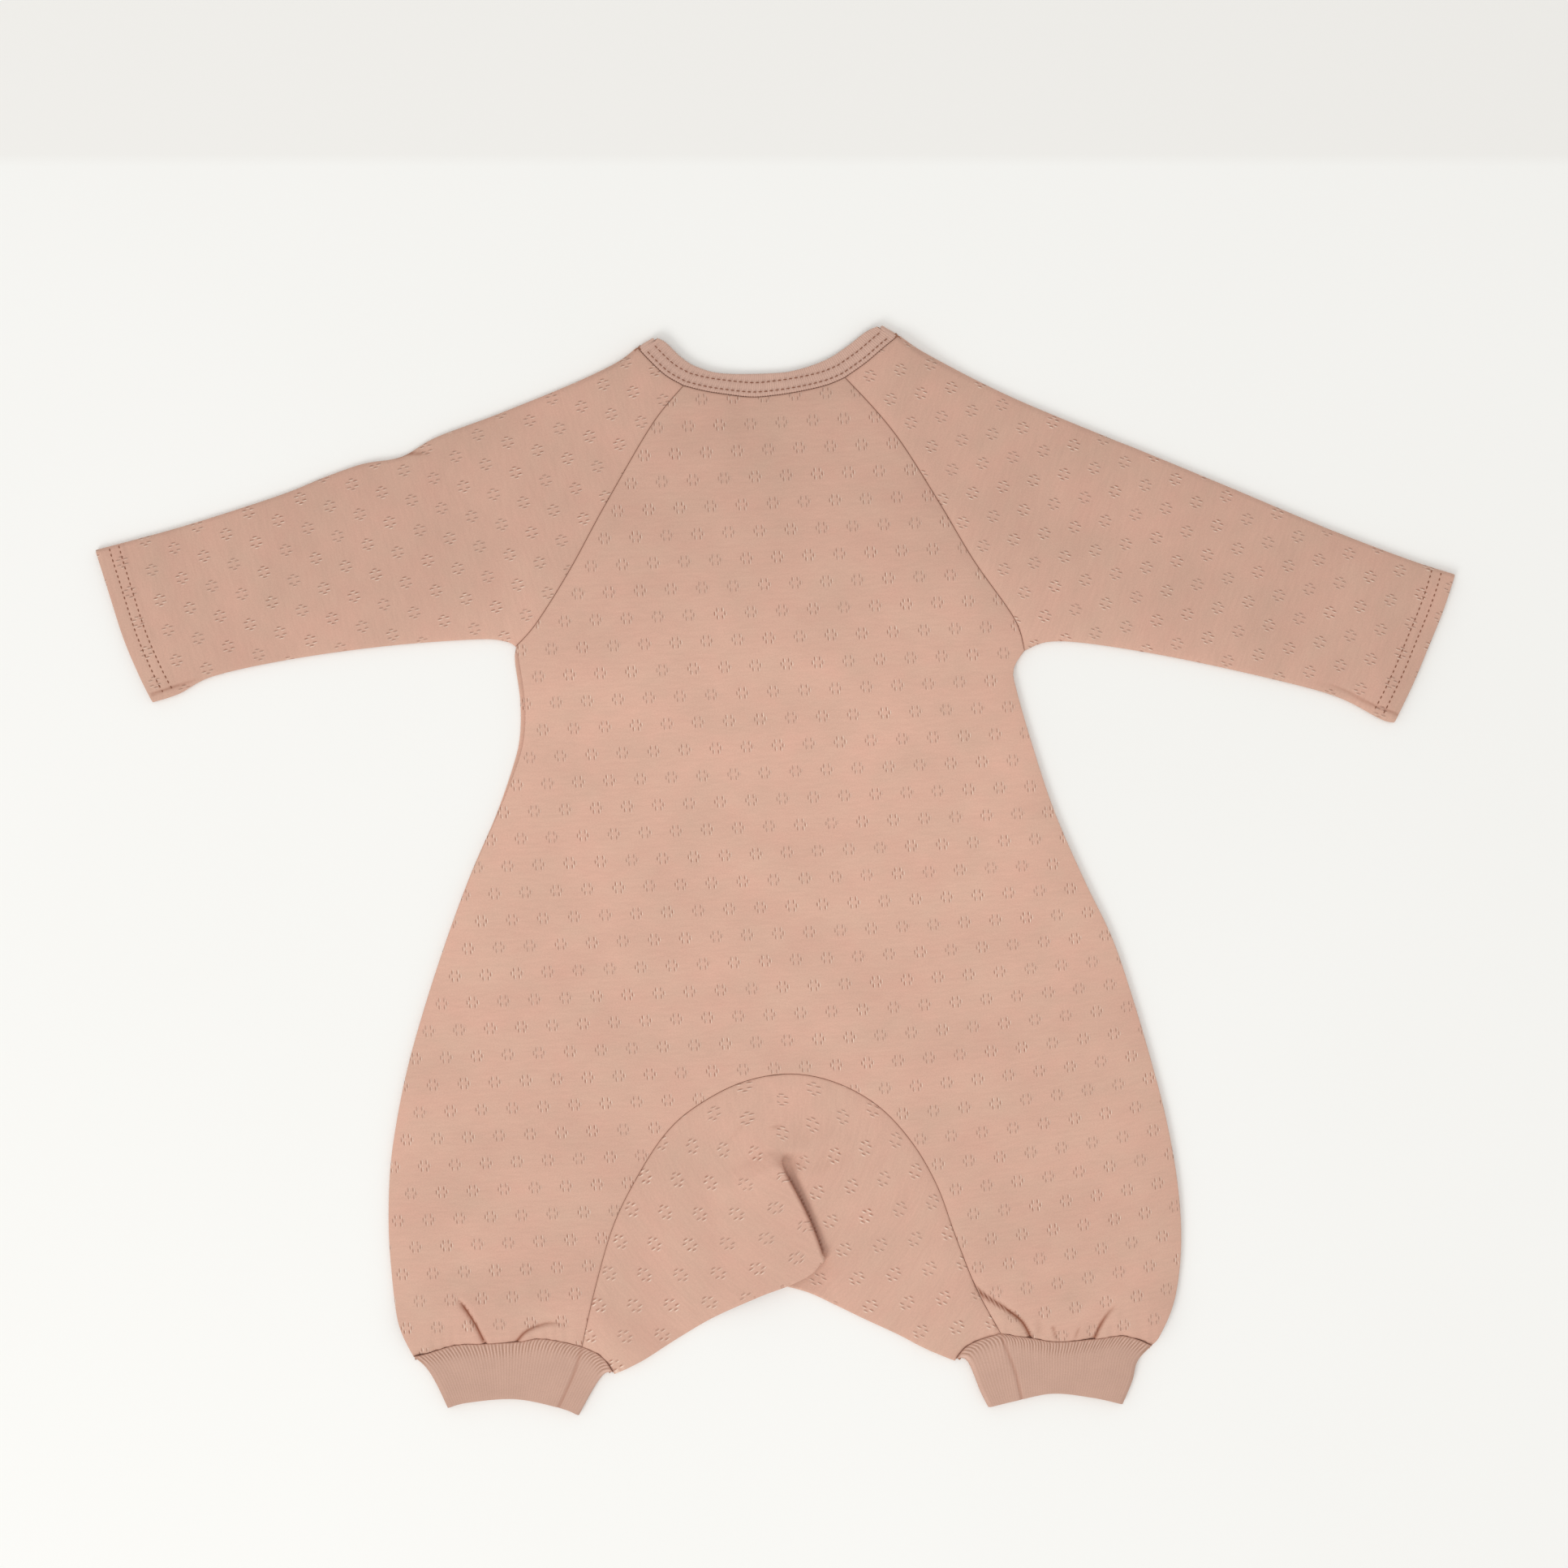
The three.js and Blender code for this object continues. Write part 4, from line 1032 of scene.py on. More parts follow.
@dataclass(frozen=True)
class RibKnit:
    """Cotton rib, a shade greyer than the jersey, whose ribs are in the mesh itself.

    It is matt, and the valleys between the ribs are painted a little darker than their crowns as painted
    shade.
    """

    name: str = "cotton rib knit"
    crown: str = "#E0BAA9"
    # Painted shade: the colour of the valleys between the ribs
    valley_shade: str = "#B28975"
    shade: str = "#9C5F46"  # painted shade deep in a seam
    blotch: tuple[float, float] = (14.0, 10.0)
    fibre: float = 0.6

    def make(self) -> Material:
        """Builds the material.

        Returns:
            The material.
        """
        t = Tree(self.name)
        fibres = t.noise(self.fibre, self.fibre)
        blotches = t.ramp(t.noise(*self.blotch), 0.35, 0.65, 0.97, 1.02)
        heather = t.math("MULTIPLY", t.ramp(fibres, 0.3, 0.7, 0.92, 1.07), blotches)
        rib = t.add("ShaderNodeAttribute", attribute_name="rib").outputs["Fac"]
        # Painted shade between the ribs, from the rib mark
        rib_shaded = t.mix(rib, linear(self.valley_shade), linear(self.crown))
        tinted = t.mix(1.0, rib_shaded, heather, "MULTIPLY")
        seam = t.add("ShaderNodeAttribute", attribute_name="seam").outputs["Fac"]
        # Painted shade along the seams, from the seam mark
        final = t.mix(t.math("MULTIPLY", seam, 0.8), tinted, linear(self.shade))
        return t.matt(final, fibres, 0.12)


@dataclass(frozen=True)
class SewingThread:
    """Spun polyester thread with a slight gloss and a fine twist."""

    name: str
    colour: str
    dark: str
    twist: float = 0.4

    def make(self) -> Material:
        """Builds the material.

        Returns:
            The material.
        """
        t = Tree(self.name)
        place = t.add("ShaderNodeTexCoord").outputs["Object"]
        settings = {0: place, "Scale": 1 / (self.twist * MM), "Detail": 2.0}
        twist = t.add("ShaderNodeTexNoise", settings).outputs[0]
        material = t.matt(t.mix(twist, linear(self.dark), linear(self.colour)), twist, 0.08)
        t.shader.inputs["Roughness"].default_value = 0.6
        return material


class Slot(Enum):
    """The record's material slots."""

    JERSEY = "jersey"
    RIB = "rib"


class Closing(Enum):
    """How a wall's grids close on themselves."""

    OPEN = (False, False)
    TUBE = (True, False)
    RING = (True, True)


def smooth_piece(name: str, points: Array, faces: Array, material: Material) -> Object:
    """Makes an object from points in metres and quads.

    Args:
        name: Its name.
        points: The points.
        faces: Corner numbers of the quads.
        material: Its material.

    Returns:
        The object.
    """
    mesh = bpy.data.meshes.new(name)
    mesh.from_pydata(points.tolist(), [], faces.tolist())
    mesh.polygons.foreach_set("use_smooth", [True] * len(mesh.polygons))
    mesh.materials.append(material)
    made = bpy.data.objects.new(name, mesh)
    bpy.context.scene.collection.objects.link(made)
    return made


@dataclass
class Wall:
    """A closed wall of cloth between two equal grids of points, in millimetres.

    Attributes:
        outer: Outer face, in rows and columns.
        inner: Inner face, or None for a solid ring.
        uv: Place of each grid point on the cloth.
        closing: Whether columns and rows join up.
        marks: Named values from 0 to 1 for each grid point, read by the materials.
    """

    outer: Array
    inner: Array | None
    uv: Array
    closing: Closing = Closing.OPEN
    marks: dict[str, Array] = field(default_factory=dict)

    def faces(self) -> Array:
        """Corner numbers of the quads.

        Returns:
            One row of four numbers for each quad.
        """
        rows, columns = self.outer.shape[:2]
        wrap, loop = self.closing.value
        i = np.arange(rows if loop else rows - 1)[:, None]
        j = np.arange(columns if wrap else columns - 1)[None, :]
        below, beside = (i + 1) % rows, (j + 1) % columns

        def quads(*corners: Array) -> Array:
            """Stacks four grids of corner numbers into rows."""
            return np.stack([np.broadcast_to(c, (i.size, j.size)).ravel() for c in corners], axis=1)

        top = quads(i * columns + j, i * columns + beside, below * columns + beside, below * columns + j)
        if self.inner is None:
            return top
        count = rows * columns

        def rim(a: Array, b: Array) -> Array:
            """Quads from the outer to the inner face along an open edge."""
            return np.stack([a, b, b + count, a + count], axis=1)

        parts = [top, top[:, ::-1] + count]
        if not loop:
            line = np.arange(j.size)
            following, last = (line + 1) % columns, (rows - 1) * columns
            parts += [rim(following, line), rim(last + line, last + following)]
        if not wrap:
            line = np.arange(i.size) * columns
            following, last = line + columns, columns - 1
            parts += [rim(line, following), rim(last + following, last + line)]
        return np.vstack(parts)

    def build(self, name: str, material: Material) -> Object:
        """Makes the mesh object, with its faces pointing out.

        Args:
            name: Name of the object.
            material: The cloth.

        Returns:
            The object.
        """
        grids = [self.outer] if self.inner is None else [self.outer, self.inner]
        points = np.vstack([grid.reshape(-1, 3) for grid in grids]) * MM
        faces = self.faces()
        a, b, c, d = (points[faces[:, k]] for k in range(4))
        volume = np.sum(a * np.cross(b, c)) + np.sum(a * np.cross(c, d))
        if volume < 0:
            faces = faces[:, ::-1]
        made = smooth_piece(name, points, faces, material)
        flat_uv = np.tile(self.uv.reshape(-1, 2), (len(grids), 1))
        layer = made.data.uv_layers.new(name="cloth")
        layer.data.foreach_set("uv", flat_uv[faces.ravel()].ravel())
        for mark, values in self.marks.items():
            attribute = made.data.attributes.new(mark, "FLOAT", "POINT")
            attribute.data.foreach_set("value", np.tile(values.ravel(), len(grids)))
        made.data.update()
        return made


def face_normals(grid: Array, closing: Closing) -> Array:
    """Unit normals of a grid of points, not yet turned outwards.

    Args:
        grid: Points in rows and columns.
        closing: Whether columns and rows join up.

    Returns:
        The normals.
    """
    wrap, loop = closing.value
    across = np.roll(grid, -1, axis=1) - np.roll(grid, 1, axis=1) if wrap else np.gradient(grid, axis=1)
    down = np.roll(grid, -1, axis=0) - np.roll(grid, 1, axis=0) if loop else np.gradient(grid, axis=0)
    normals = np.cross(down, across)
    return normals / np.maximum(np.linalg.norm(normals, axis=-1, keepdims=True), 1e-9)


def rested(grid: Array) -> Array:
    """Keeps a grid of points on or above the surface that the garment lies on."""
    return raised(grid[..., :2], np.maximum(grid[..., 2], 0.0))


def on_surface(points: Array) -> Array:
    """Height of that surface at points with x and y last."""
    return np.zeros(points.shape[:-1])


@dataclass
class BodyPanel:
    """The back or the front of the romper, from the neck seam to the leg ends and the arch.

    Attributes:
        name: Name of the piece.
        node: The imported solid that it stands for.
        neck: Its neck seam.
        left_raglan: Its left raglan seam, from the underarm.
        right_raglan: Its right raglan seam, from the underarm.
        laid: Heights of the upper ply, or None for a panel that lies on the surface.
        leg_step: Grid spacing along the leg ends.
        arch_step: Grid spacing along the arch.
        row_step: Grid spacing down the panel.
        left_side: Its left side, from the underarm.
    """

    name: str
    node: str
    neck: Outline
    left_raglan: Outline
    right_raglan: Outline
    laid: LaidCloth | None
    leg_step: float
    arch_step: float
    row_step: float
    left_side: Outline = LEFT_SIDE

    LEG_SHARE = 0.27
    RAGLAN_SHARE = 0.3
    RAGLAN_LENGTH = 150.0
    SIDE_LENGTH = 345.0
    LEG_LENGTH = 78.0
    ARCH_LENGTH = 370.0

    def columns(self) -> Array:
        """Sets out the columns, with a line at each foot of the arch.

        Returns:
            Shares across the panel.
        """
        leg = graded(self.LEG_LENGTH, *close_to(self.leg_step)) * self.LEG_SHARE
        arch_share = 1 - 2 * self.LEG_SHARE
        stations = np.linspace(0, 1, round(self.ARCH_LENGTH / self.arch_step) + 1)
        arch = self.LEG_SHARE + arch_share * stations
        return np.concatenate([leg[:-1], arch[:-1], 1 - self.LEG_SHARE + leg])

    def grid(self) -> Array:
        """Lays the panel out flat.

        Returns:
            Its flat points in rows and columns, neck first.
        """
        raglans = [Line(line[::-1]) for line in (self.left_raglan, self.right_raglan)]
        sides = [Line(self.left_side), Line(RIGHT_SIDE)]
        left, right = (
            Path((raglan, self.RAGLAN_SHARE), (side, 1.0)) for raglan, side in zip(raglans, sides)
        )
        legs = Path(
            (Line(LEFT_LEG_SEAM), self.LEG_SHARE),
            (Line(ARCH), 1 - self.LEG_SHARE),
            (Line(RIGHT_LEG_SEAM), 1.0),
        )
        upper_rows = graded(self.RAGLAN_LENGTH, *FINE_START, (0.0, self.row_step))
        upper_rows *= self.RAGLAN_SHARE
        towards_cuff = ((-42, self.row_step), (-30, self.leg_step * 1.6), (-2.2, self.leg_step))
        lower_rows = graded(self.SIDE_LENGTH, *towards_cuff, *FINE_END)
        lower_rows = self.RAGLAN_SHARE + lower_rows * (1 - self.RAGLAN_SHARE)
        v, u = np.meshgrid(np.concatenate([upper_rows[:-1], lower_rows]), self.columns(), indexing="ij")
        patch = coons_patch(Line(self.neck), legs, left, right, u, v)
        return trimmed(patch, "first", "last", "left", "right")

    def build(self, material: Material) -> Object:
        """Makes the panel.

        Args:
            material: Its cloth.

        Returns:
            The panel's object.
        """
        grid = self.grid()
        border = border_distance(grid)
        if self.laid:
            grid = self.laid.snapped(grid, self.laid.snap_reach)
            top = self.laid.upper(grid)
            # Painted shade of the seams and creases, as the seam mark
            seam = self.laid.painted_seam_shade(grid)
        else:
            top = np.full(grid.shape[:2], WALL)
            seam = np.zeros(grid.shape[:2])
        rounding = edge_rounding(border, EDGE_RADIUS)
        outer = raised(grid, top - rounding)
        inner = raised(grid, top - WALL + INNER_ROUNDING * rounding)
        grain = BodyGrain(rise=0.05, origin=(-29.9, 66.6))
        made = Wall(outer, inner, grain.uv(grid), marks={"seam": seam}).build(self.name, material)
        dress(made, self.node)
        return made


def dress(piece: Object, node: str | None) -> None:
    """Ties a piece to the frame.

    Args:
        piece: The piece.
        node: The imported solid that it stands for, if any.
    """
    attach(piece, "root")
    if node:
        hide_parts(node)
    LOG.info("%s: %d faces", piece.name, len(piece.data.polygons))


@dataclass
class FlatTube:
    """A tube of cloth pressed flat: upper ply, a fold, lower ply and the other fold.

    Attributes:
        upper: The upper ply's flat points for shares along and across.
        lower: The lower ply's, equal to the upper ones at both sides.
        along: Shares along the tube.
        across: Number of columns across one ply, between the folds.
        wall: Thickness of the cloth.
        height: Height of the upper ply's top at flat points.
    """

    upper: Callable[[Array, Array], Array]
    lower: Callable[[Array, Array], Array]
    along: Array
    across: int
    wall: float
    height: Callable[[Array], Array]

    FOLD_ANGLES = (0.0, 22.5, 45.0, 67.5)

    @property
    def fold_radius(self) -> float:
        """Radius of a fold's outer face."""
        return self.wall + PLY_GAP / 2

    def shares(self) -> tuple[Array, Array]:
        """Sets out the points of a ply.

        Returns:
            Their shares along and across.
        """
        ends = np.zeros_like(self.along)
        width = np.linalg.norm(self.upper(self.along, ends) - self.upper(self.along, ends + 1), axis=-1)
        fold = self.fold_radius * (1 - np.cos(np.radians(self.FOLD_ANGLES)))
        inset = (self.fold_radius / width)[:, None]
        side = fold[None, :] / width[:, None]
        middle = inset + (1 - 2 * inset) * np.linspace(0, 1, self.across + 1)[None, :]
        across = np.hstack([side, middle, 1 - side[:, ::-1]])
        along = np.broadcast_to(self.along[:, None], across.shape)
        return along, across

    def faces(self, trim: str) -> tuple[Array, Array, Array, Array]:
        """The tube's outer and inner faces.

        Args:
            trim: The grid side that is sewn to another piece.

        Returns:
            Outer face, inner face, flat points of the ring, and 1 on the upper ply and 0 beneath.
        """
        along, across = self.shares()
        plies = [trimmed(ply(along, across), trim) for ply in (self.upper, self.lower)]
        count = across.shape[1]
        angles = np.radians(self.FOLD_ANGLES)
        folds = len(angles)
        from_end = np.minimum(np.arange(count), np.arange(count)[::-1])
        in_fold = from_end < folds
        turn = np.where(in_fold, angles[np.minimum(from_end, folds - 1)], math.pi / 2)
        radius = self.fold_radius
        small = PLY_GAP / 2
        top = self.height(plies[0])
        outer_upper = np.where(in_fold, radius + radius * np.sin(turn), top)
        outer_lower = np.where(in_fold, radius - radius * np.sin(turn), 0 * top)
        inner_upper = np.where(in_fold, radius + small * np.sin(turn), top - self.wall)
        inner_lower = np.where(in_fold, radius - small * np.sin(turn), self.wall + 0 * top)
        pulled = [self.pulled_in(ply, turn, in_fold) for ply in plies]

        def ring(flat: list[Array], upper_z: Array, lower_z: Array) -> Array:
            """Joins both plies into closed rings."""
            upper, lower = raised(flat[0], upper_z), raised(flat[1], lower_z)
            return np.concatenate([upper, lower[:, 1:-1][:, ::-1]], axis=1)

        outer = ring(plies, outer_upper, outer_lower)
        inner = ring(pulled, inner_upper, inner_lower)
        on_top = np.concatenate([np.ones(count), np.zeros(count - 2)])
        return outer, inner, outer[..., :2], np.broadcast_to(on_top, outer.shape[:2])

    def pulled_in(self, ply: Array, turn: Array, in_fold: Array) -> Array:
        """Moves the folds' points of a ply to where the inner face has them.

        Args:
            ply: The ply's flat points.
            turn: Angle round the fold for each column.
            in_fold: Whether each column lies in a fold.

        Returns:
            The moved points.
        """
        folds = len(self.FOLD_ANGLES)
        moved = ply.copy()
        shift = (self.fold_radius - PLY_GAP / 2) * np.cos(turn)
        for j in np.flatnonzero(in_fold):
            target = folds if j < ply.shape[1] / 2 else ply.shape[1] - 1 - folds
            step = ply[:, target] - ply[:, j]
            step /= np.linalg.norm(step, axis=-1, keepdims=True)
            moved[:, j] = ply[:, j] + step * shift[j]
        return moved


@dataclass
class Sleeve:
    """A one-piece raglan sleeve with a turned hem, open at the hem and at the body.

    Attributes:
        name: Name of the piece.
        node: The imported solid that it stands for.
        hem: Its open end, from the lower to the top edge.
        under: Its lower edge, from hem to body.
        top: Its top edge, from hem to body.
        seams: Raglan and neck seam of the upper ply, from the underarm.
        front_seams: The same of the lower ply.
        grain: Run of the knit.
        laid: Heights of the upper ply.
    """

    name: str
    node: str
    hem: Outline
    under: Outline
    top: Outline
    seams: tuple[Outline, Outline]
    front_seams: tuple[Outline, Outline]
    grain: Grain
    laid: LaidCloth
    step_along: float = 2.5
    across: int = 84
    hem_depth: float = 14.0
    hem_rise: float = 0.45
    hem_rows: tuple[float, float] = (7.0, 11.8)
    row_dip: float = 0.22
    hem_rounding: float = 0.5

    RAGLAN_SHARE = 0.84
    LENGTH = 285.0

    def ply(self, seams: tuple[Outline, Outline]) -> Callable[[Array, Array], Array]:
        """One ply of the sleeve as a patch.

        Args:
            seams: Its raglan and neck seam.

        Returns:
            Its flat points for shares along and across.
        """
        body_end = Path((Line(seams[0]), self.RAGLAN_SHARE), (Line(seams[1]), 1.0))
        sides = Line(self.under), Line(self.top), Line(self.hem), body_end
        return lambda along, across: coons_patch(*sides, along, across)

    def height(self, points: Array) -> Array:
        """Top of the upper ply, thicker over the turned hem.

        Args:
            points: Points with x and y last.

        Returns:
            The heights.
        """
        from_hem = Nearness(self.hem)(points)
        flat = eased(from_hem, self.hem_depth - 0.8, self.hem_depth + 0.8)
        rows = sum(bell((from_hem - row) / 0.8) for row in self.hem_rows)
        return self.laid.upper(points) + self.hem_rise * (1 - flat) - self.row_dip * rows

    def build(self, material: Material) -> Object:
        """Makes the sleeve.

        Args:
            material: Its cloth.

        Returns:
            The sleeve's object.
        """
        along = graded(self.LENGTH, (0.5, 0.25), (17, 0.9), (-2.2, self.step_along), *FINE_END)
        plies = self.ply(self.seams), self.ply(self.front_seams)
        tube = FlatTube(*plies, along, self.across, WALL, self.height)
        outer, inner, flat, on_top = tube.faces("last")
        rounding = edge_rounding(Nearness(self.hem)(flat), self.hem_rounding)
        outer[..., 2] += np.where(on_top > 0, -rounding, rounding)
        # Painted shade of the seams and creases on the upper ply, as the seam mark
        seam = self.laid.painted_seam_shade(flat) * on_top
        wall = Wall(outer, inner, self.grain.uv(flat), Closing.TUBE, {"seam": seam})
        made = wall.build(self.name, material)
        dress(made, self.node)
        return made


@dataclass
class RibCuff:
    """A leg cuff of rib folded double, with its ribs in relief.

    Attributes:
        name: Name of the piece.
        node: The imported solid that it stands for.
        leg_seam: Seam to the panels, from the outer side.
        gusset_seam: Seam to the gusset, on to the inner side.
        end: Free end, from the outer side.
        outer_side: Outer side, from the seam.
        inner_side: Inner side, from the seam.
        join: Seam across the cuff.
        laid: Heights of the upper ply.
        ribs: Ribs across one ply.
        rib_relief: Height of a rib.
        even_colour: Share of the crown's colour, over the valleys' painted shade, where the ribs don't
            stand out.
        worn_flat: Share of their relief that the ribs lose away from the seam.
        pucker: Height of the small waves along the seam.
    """

    name: str
    node: str
    leg_seam: Outline
    gusset_seam: Outline
    end: Outline
    outer_side: Outline
    inner_side: Outline
    join: Outline
    laid: LaidCloth
    ribs: int = 56
    rib_relief: float = 0.3
    columns_per_rib: int = 5
    even_colour: float = 0.6
    worn_flat: float = 0.8
    pucker: float = 0.28
    pucker_pitch: float = 4.4

    LEG_SHARE = 0.8
    DEPTH = 30.0

    def ply(self, along: Array, across: Array) -> Array:
        """A ply's flat points for shares along and across.

        Args:
            along: Shares from the leg seam to the end.
            across: Shares across.

        Returns:
            Its points.
        """
        seam = Path((Line(self.leg_seam), self.LEG_SHARE), (Line(self.gusset_seam), 1.0))
        sides = Line(self.outer_side), Line(self.inner_side)
        return coons_patch(*sides, seam, Line(self.end), along, across)

    def height(self, points: Array) -> Array:
        """Top of the upper ply, drawn in at the leg seam and across the cuff's own seam.

        Args:
            points: Points with x and y last.

        Returns:
            The heights.
        """
        from_seam = self.laid.cuff_seams(points)
        join = bell(Nearness(self.join, spacing=2.0)(points) / 0.9)
        ripple = np.sin(points[..., 0] * 2 * math.pi / self.pucker_pitch)
        pucker = self.pucker * ripple * np.exp(-from_seam / 5)
        return self.laid.cuff(points) - 0.55 * np.exp(-from_seam / 1.6) - 0.5 * join + pucker

    def build(self, material: Material) -> Object:
        """Makes the cuff.

        Args:
            material: Its rib.

        Returns:
            The cuff's object.
        """
        along = graded(self.DEPTH, *close_to(2.0))
        across = self.ribs * self.columns_per_rib
        tube = FlatTube(self.ply, self.ply, along, across, RIB_WALL, self.height)
        outer, inner, flat, on_top = tube.faces("first")
        phase = np.arange(outer.shape[1]) * 2 * math.pi / self.columns_per_rib
        rib = np.broadcast_to(0.5 + 0.5 * np.cos(phase), outer.shape[:2])
        normals = face_normals(outer, Closing.TUBE)
        if np.mean(normals[..., 2] * (on_top - 0.5)) < 0:
            normals = -normals
        fade = self.fade(outer)
        outer = rested(outer + normals * ((rib - 1) * self.rib_relief * fade)[..., None])
        # The rib mark carries the valleys' painted shade, fading with the relief
        rib = self.even_colour + (rib - self.even_colour) * fade
        # Painted shade along the leg seam and across the cuff's own seam
        join = bell(Nearness(self.join, spacing=2.0)(flat) / 0.7) * on_top
        seam = np.maximum(0.6 * bell(self.laid.seams(flat) / 0.45) * on_top, 0.42 * join)
        wall = Wall(outer, inner, Grain().uv(flat), Closing.TUBE, {"seam": seam, "rib": rib})
        made = wall.build(self.name, material)
        dress(made, self.node)
        return made

    def fade(self, outer: Array) -> Array:
        """Share of the ribs' relief, less away from the seam and at the very ends of the cuff.

        Args:
            outer: The cuff's outer face.

        Returns:
            The share at each of its points.
        """
        run = np.linalg.norm(np.diff(outer, axis=0), axis=-1)
        from_seam = np.vstack([np.zeros((1, outer.shape[1])), np.cumsum(run, axis=0)])
        to_end = from_seam[-1:] - from_seam
        near_seam = 1 - self.worn_flat * eased(from_seam, 4, 8)
        inside = eased(np.minimum(from_seam + 0.3, to_end - 0.6), 0, 2)
        return near_seam * (0.3 + 0.7 * inside)


@dataclass
class Gusset:
    """The crotch gusset, doubled round the crotch fold, with the tuck it lies in.

    Attributes:
        laid: Heights of the upper ply.
        bend_radius: Radius of the tuck's bends, at the middle of the doubled cloth.
        depth: How far the tuck's middle layer runs back at the crotch fold.
        flat: Flat cloth between the two bends where the tuck begins.
        at: Share of the arch seam to the left of the tuck.
        tip: Where the tuck begins, from arch seam (0) to crotch fold (1).
        turn: Share of that way over which the bends close.
        ease: Length over which the cloth comes down again beside the tuck.
        swell_beside: Length over which the lower cloth swells up beside the tuck.
        edge_shade: Half width of the painted shadow line where the tuck's edge lies on the cloth.
    """

    laid: LaidCloth
    bend_radius: float = 1.45
    depth: float = 28.6
    flat: float = 0.5
    at: float = 0.478
    tip: float = 0.37
    turn: float = 0.16
    ease: float = 35.0
    swell_beside: float = 9.0
    edge_shade: float = 0.5
    side_columns: int = 58
    bend_columns: int = 9
    middle_columns: int = 10

    FOLD_DIRECTION = np.array([0.943, 0.332])
    APEX = np.array([-4.4, -135.0])
    SIDE = 90.0
    LENGTH = 118.0
    POLAR_RATIO = 0.755  # unfolded angle round the tuck's tip, for each part of the folded one
    POLAR_START = 109.1
    SQUARENESS = 6.0

    @property
    def overhang(self) -> float:
        """How far the tuck's folded edge stands out from its line."""
        return self.bend_radius + EDGE_HEIGHT / 2

    def __post_init__(self) -> None:
        """Sets out the seam, the tuck's line and the fold."""
        self.arch = Line(ARCH)
        self.bend_length = math.pi * self.bend_radius
        self.to = self.at + (2 * self.bend_length + self.flat) / self.arch.length
        top = self.arch(np.array(self.at))
        self.tuck_line = Line([tuple(top), *TUCK_LINE])
        self.top_direction = self.arch(np.array(self.to)) - top
        self.top_direction /= np.linalg.norm(self.top_direction)

    def direction(self, v: float) -> Array:
        """Direction across the tuck at v."""
        mixed = (1 - v) * self.top_direction + v * self.FOLD_DIRECTION
        return mixed / np.linalg.norm(mixed)

    def shape(self, v: float) -> tuple[float, float]:
        """Finds how far the tuck is folded.

        Args:
            v: Place from arch seam (0) to crotch fold (1).

        Returns:
            The bends' angle and the length of flat cloth between them.
        """
        angle = math.pi * float(eased(np.array(v), self.tip, self.tip + self.turn))
        closed = self.tip + self.turn
        return angle, self.flat + (self.depth - self.flat) * max(0.0, (v - closed) / (1 - closed))

    def profile(self, v: float) -> Array:
        """Middle line of the tuck at v.

        Args:
            v: Place from arch seam (0) to crotch fold (1).

        Returns:
            Rows of run across, drop in height and slope angle.
        """
        angle, flat = self.shape(v)
        share = np.linspace(0, 1, self.bend_columns + 1)
        if angle > 0:
            ratio = self.bend_length / angle
            turned = angle * share
            bend = [ratio * np.sin(turned), ratio * (1 - np.cos(turned)), turned]
        else:
            bend = [self.bend_length * share, 0 * share, 0 * share]
        bend = np.stack(bend, axis=1)
        across = 2 * bend[-1, 0] + flat * math.cos(angle)
        drop = 2 * bend[-1, 1] + flat * math.sin(angle)
        second = bend[::-1].copy()
        second[:, 0] = across - second[:, 0]
        second[:, 1] = drop - second[:, 1]
        inner = np.linspace(0, 1, self.middle_columns + 1)[1:-1, None]
        middle = bend[-1] + inner * (second[0] - bend[-1])
        return np.vstack([bend, middle, second])

    def tuck_end(self, v: Array) -> Array:
        """Right end of the tuck for an array of places."""
        widths = [self.direction(w) * self.profile(w)[-1, 0] for w in np.ravel(v)]
        return self.tuck_line(v) + np.reshape(widths, (*np.shape(v), 2))

    def row_shares(self) -> Array:
        """Places of the rows from the arch seam to the crotch fold."""
        return graded(self.LENGTH, *close_to(1.8))

    def side_shares(self) -> tuple[Array, Array]:
        """Places of the columns left and right of the tuck, fine where its edge lies on the cloth."""
        even = graded(self.SIDE, *close_to(self.SIDE / self.side_columns))
        return even, graded(self.SIDE, (34, 0.75), (-2.2, 1.8), (0.0, 0.7))

    def half_heights(self, points: Array, near: Array) -> Array:
        """Distance from the middle of both plies to an outer face, less beside the tuck."""
        return self.laid.upper(points) / 2 * (1 - near) + EDGE_HEIGHT / 2 * near

    def unfolded_angle(self, points: Array, left: bool) -> tuple[Array, Array]:
        """Distance from the tuck's tip and the angle there on the unfolded cloth.

        Args:
            points: Flat points.
            left: Whether they lie to the left of the tuck.

        Returns:
            Distances, and angles in radians.
        """
        offset = points - self.APEX
        angle = np.arctan2(offset[..., 1], offset[..., 0])
        if left:
            angle = np.mod(angle, 2 * math.pi)
        return np.linalg.norm(offset, axis=-1), self.POLAR_RATIO * angle + math.radians(self.POLAR_START)

    def middle_cloth(self) -> tuple[Array, Array, Array, Array]:
        """The doubled cloth's middle surface.

        Returns:
            Points, upward directions, half thicknesses and places on the cloth.
        """
        rows = self.row_shares()
        left_u, right_u = self.side_shares()
        right_fold = Line([tuple(self.tuck_end(np.array(1.0))), *RIGHT_CROTCH_FOLD])

        def arch_part(start: float, end: float) -> Boundary:
            """A stretch of the arch seam as a boundary of its own."""
            return lambda u: self.arch(start + (end - start) * u)

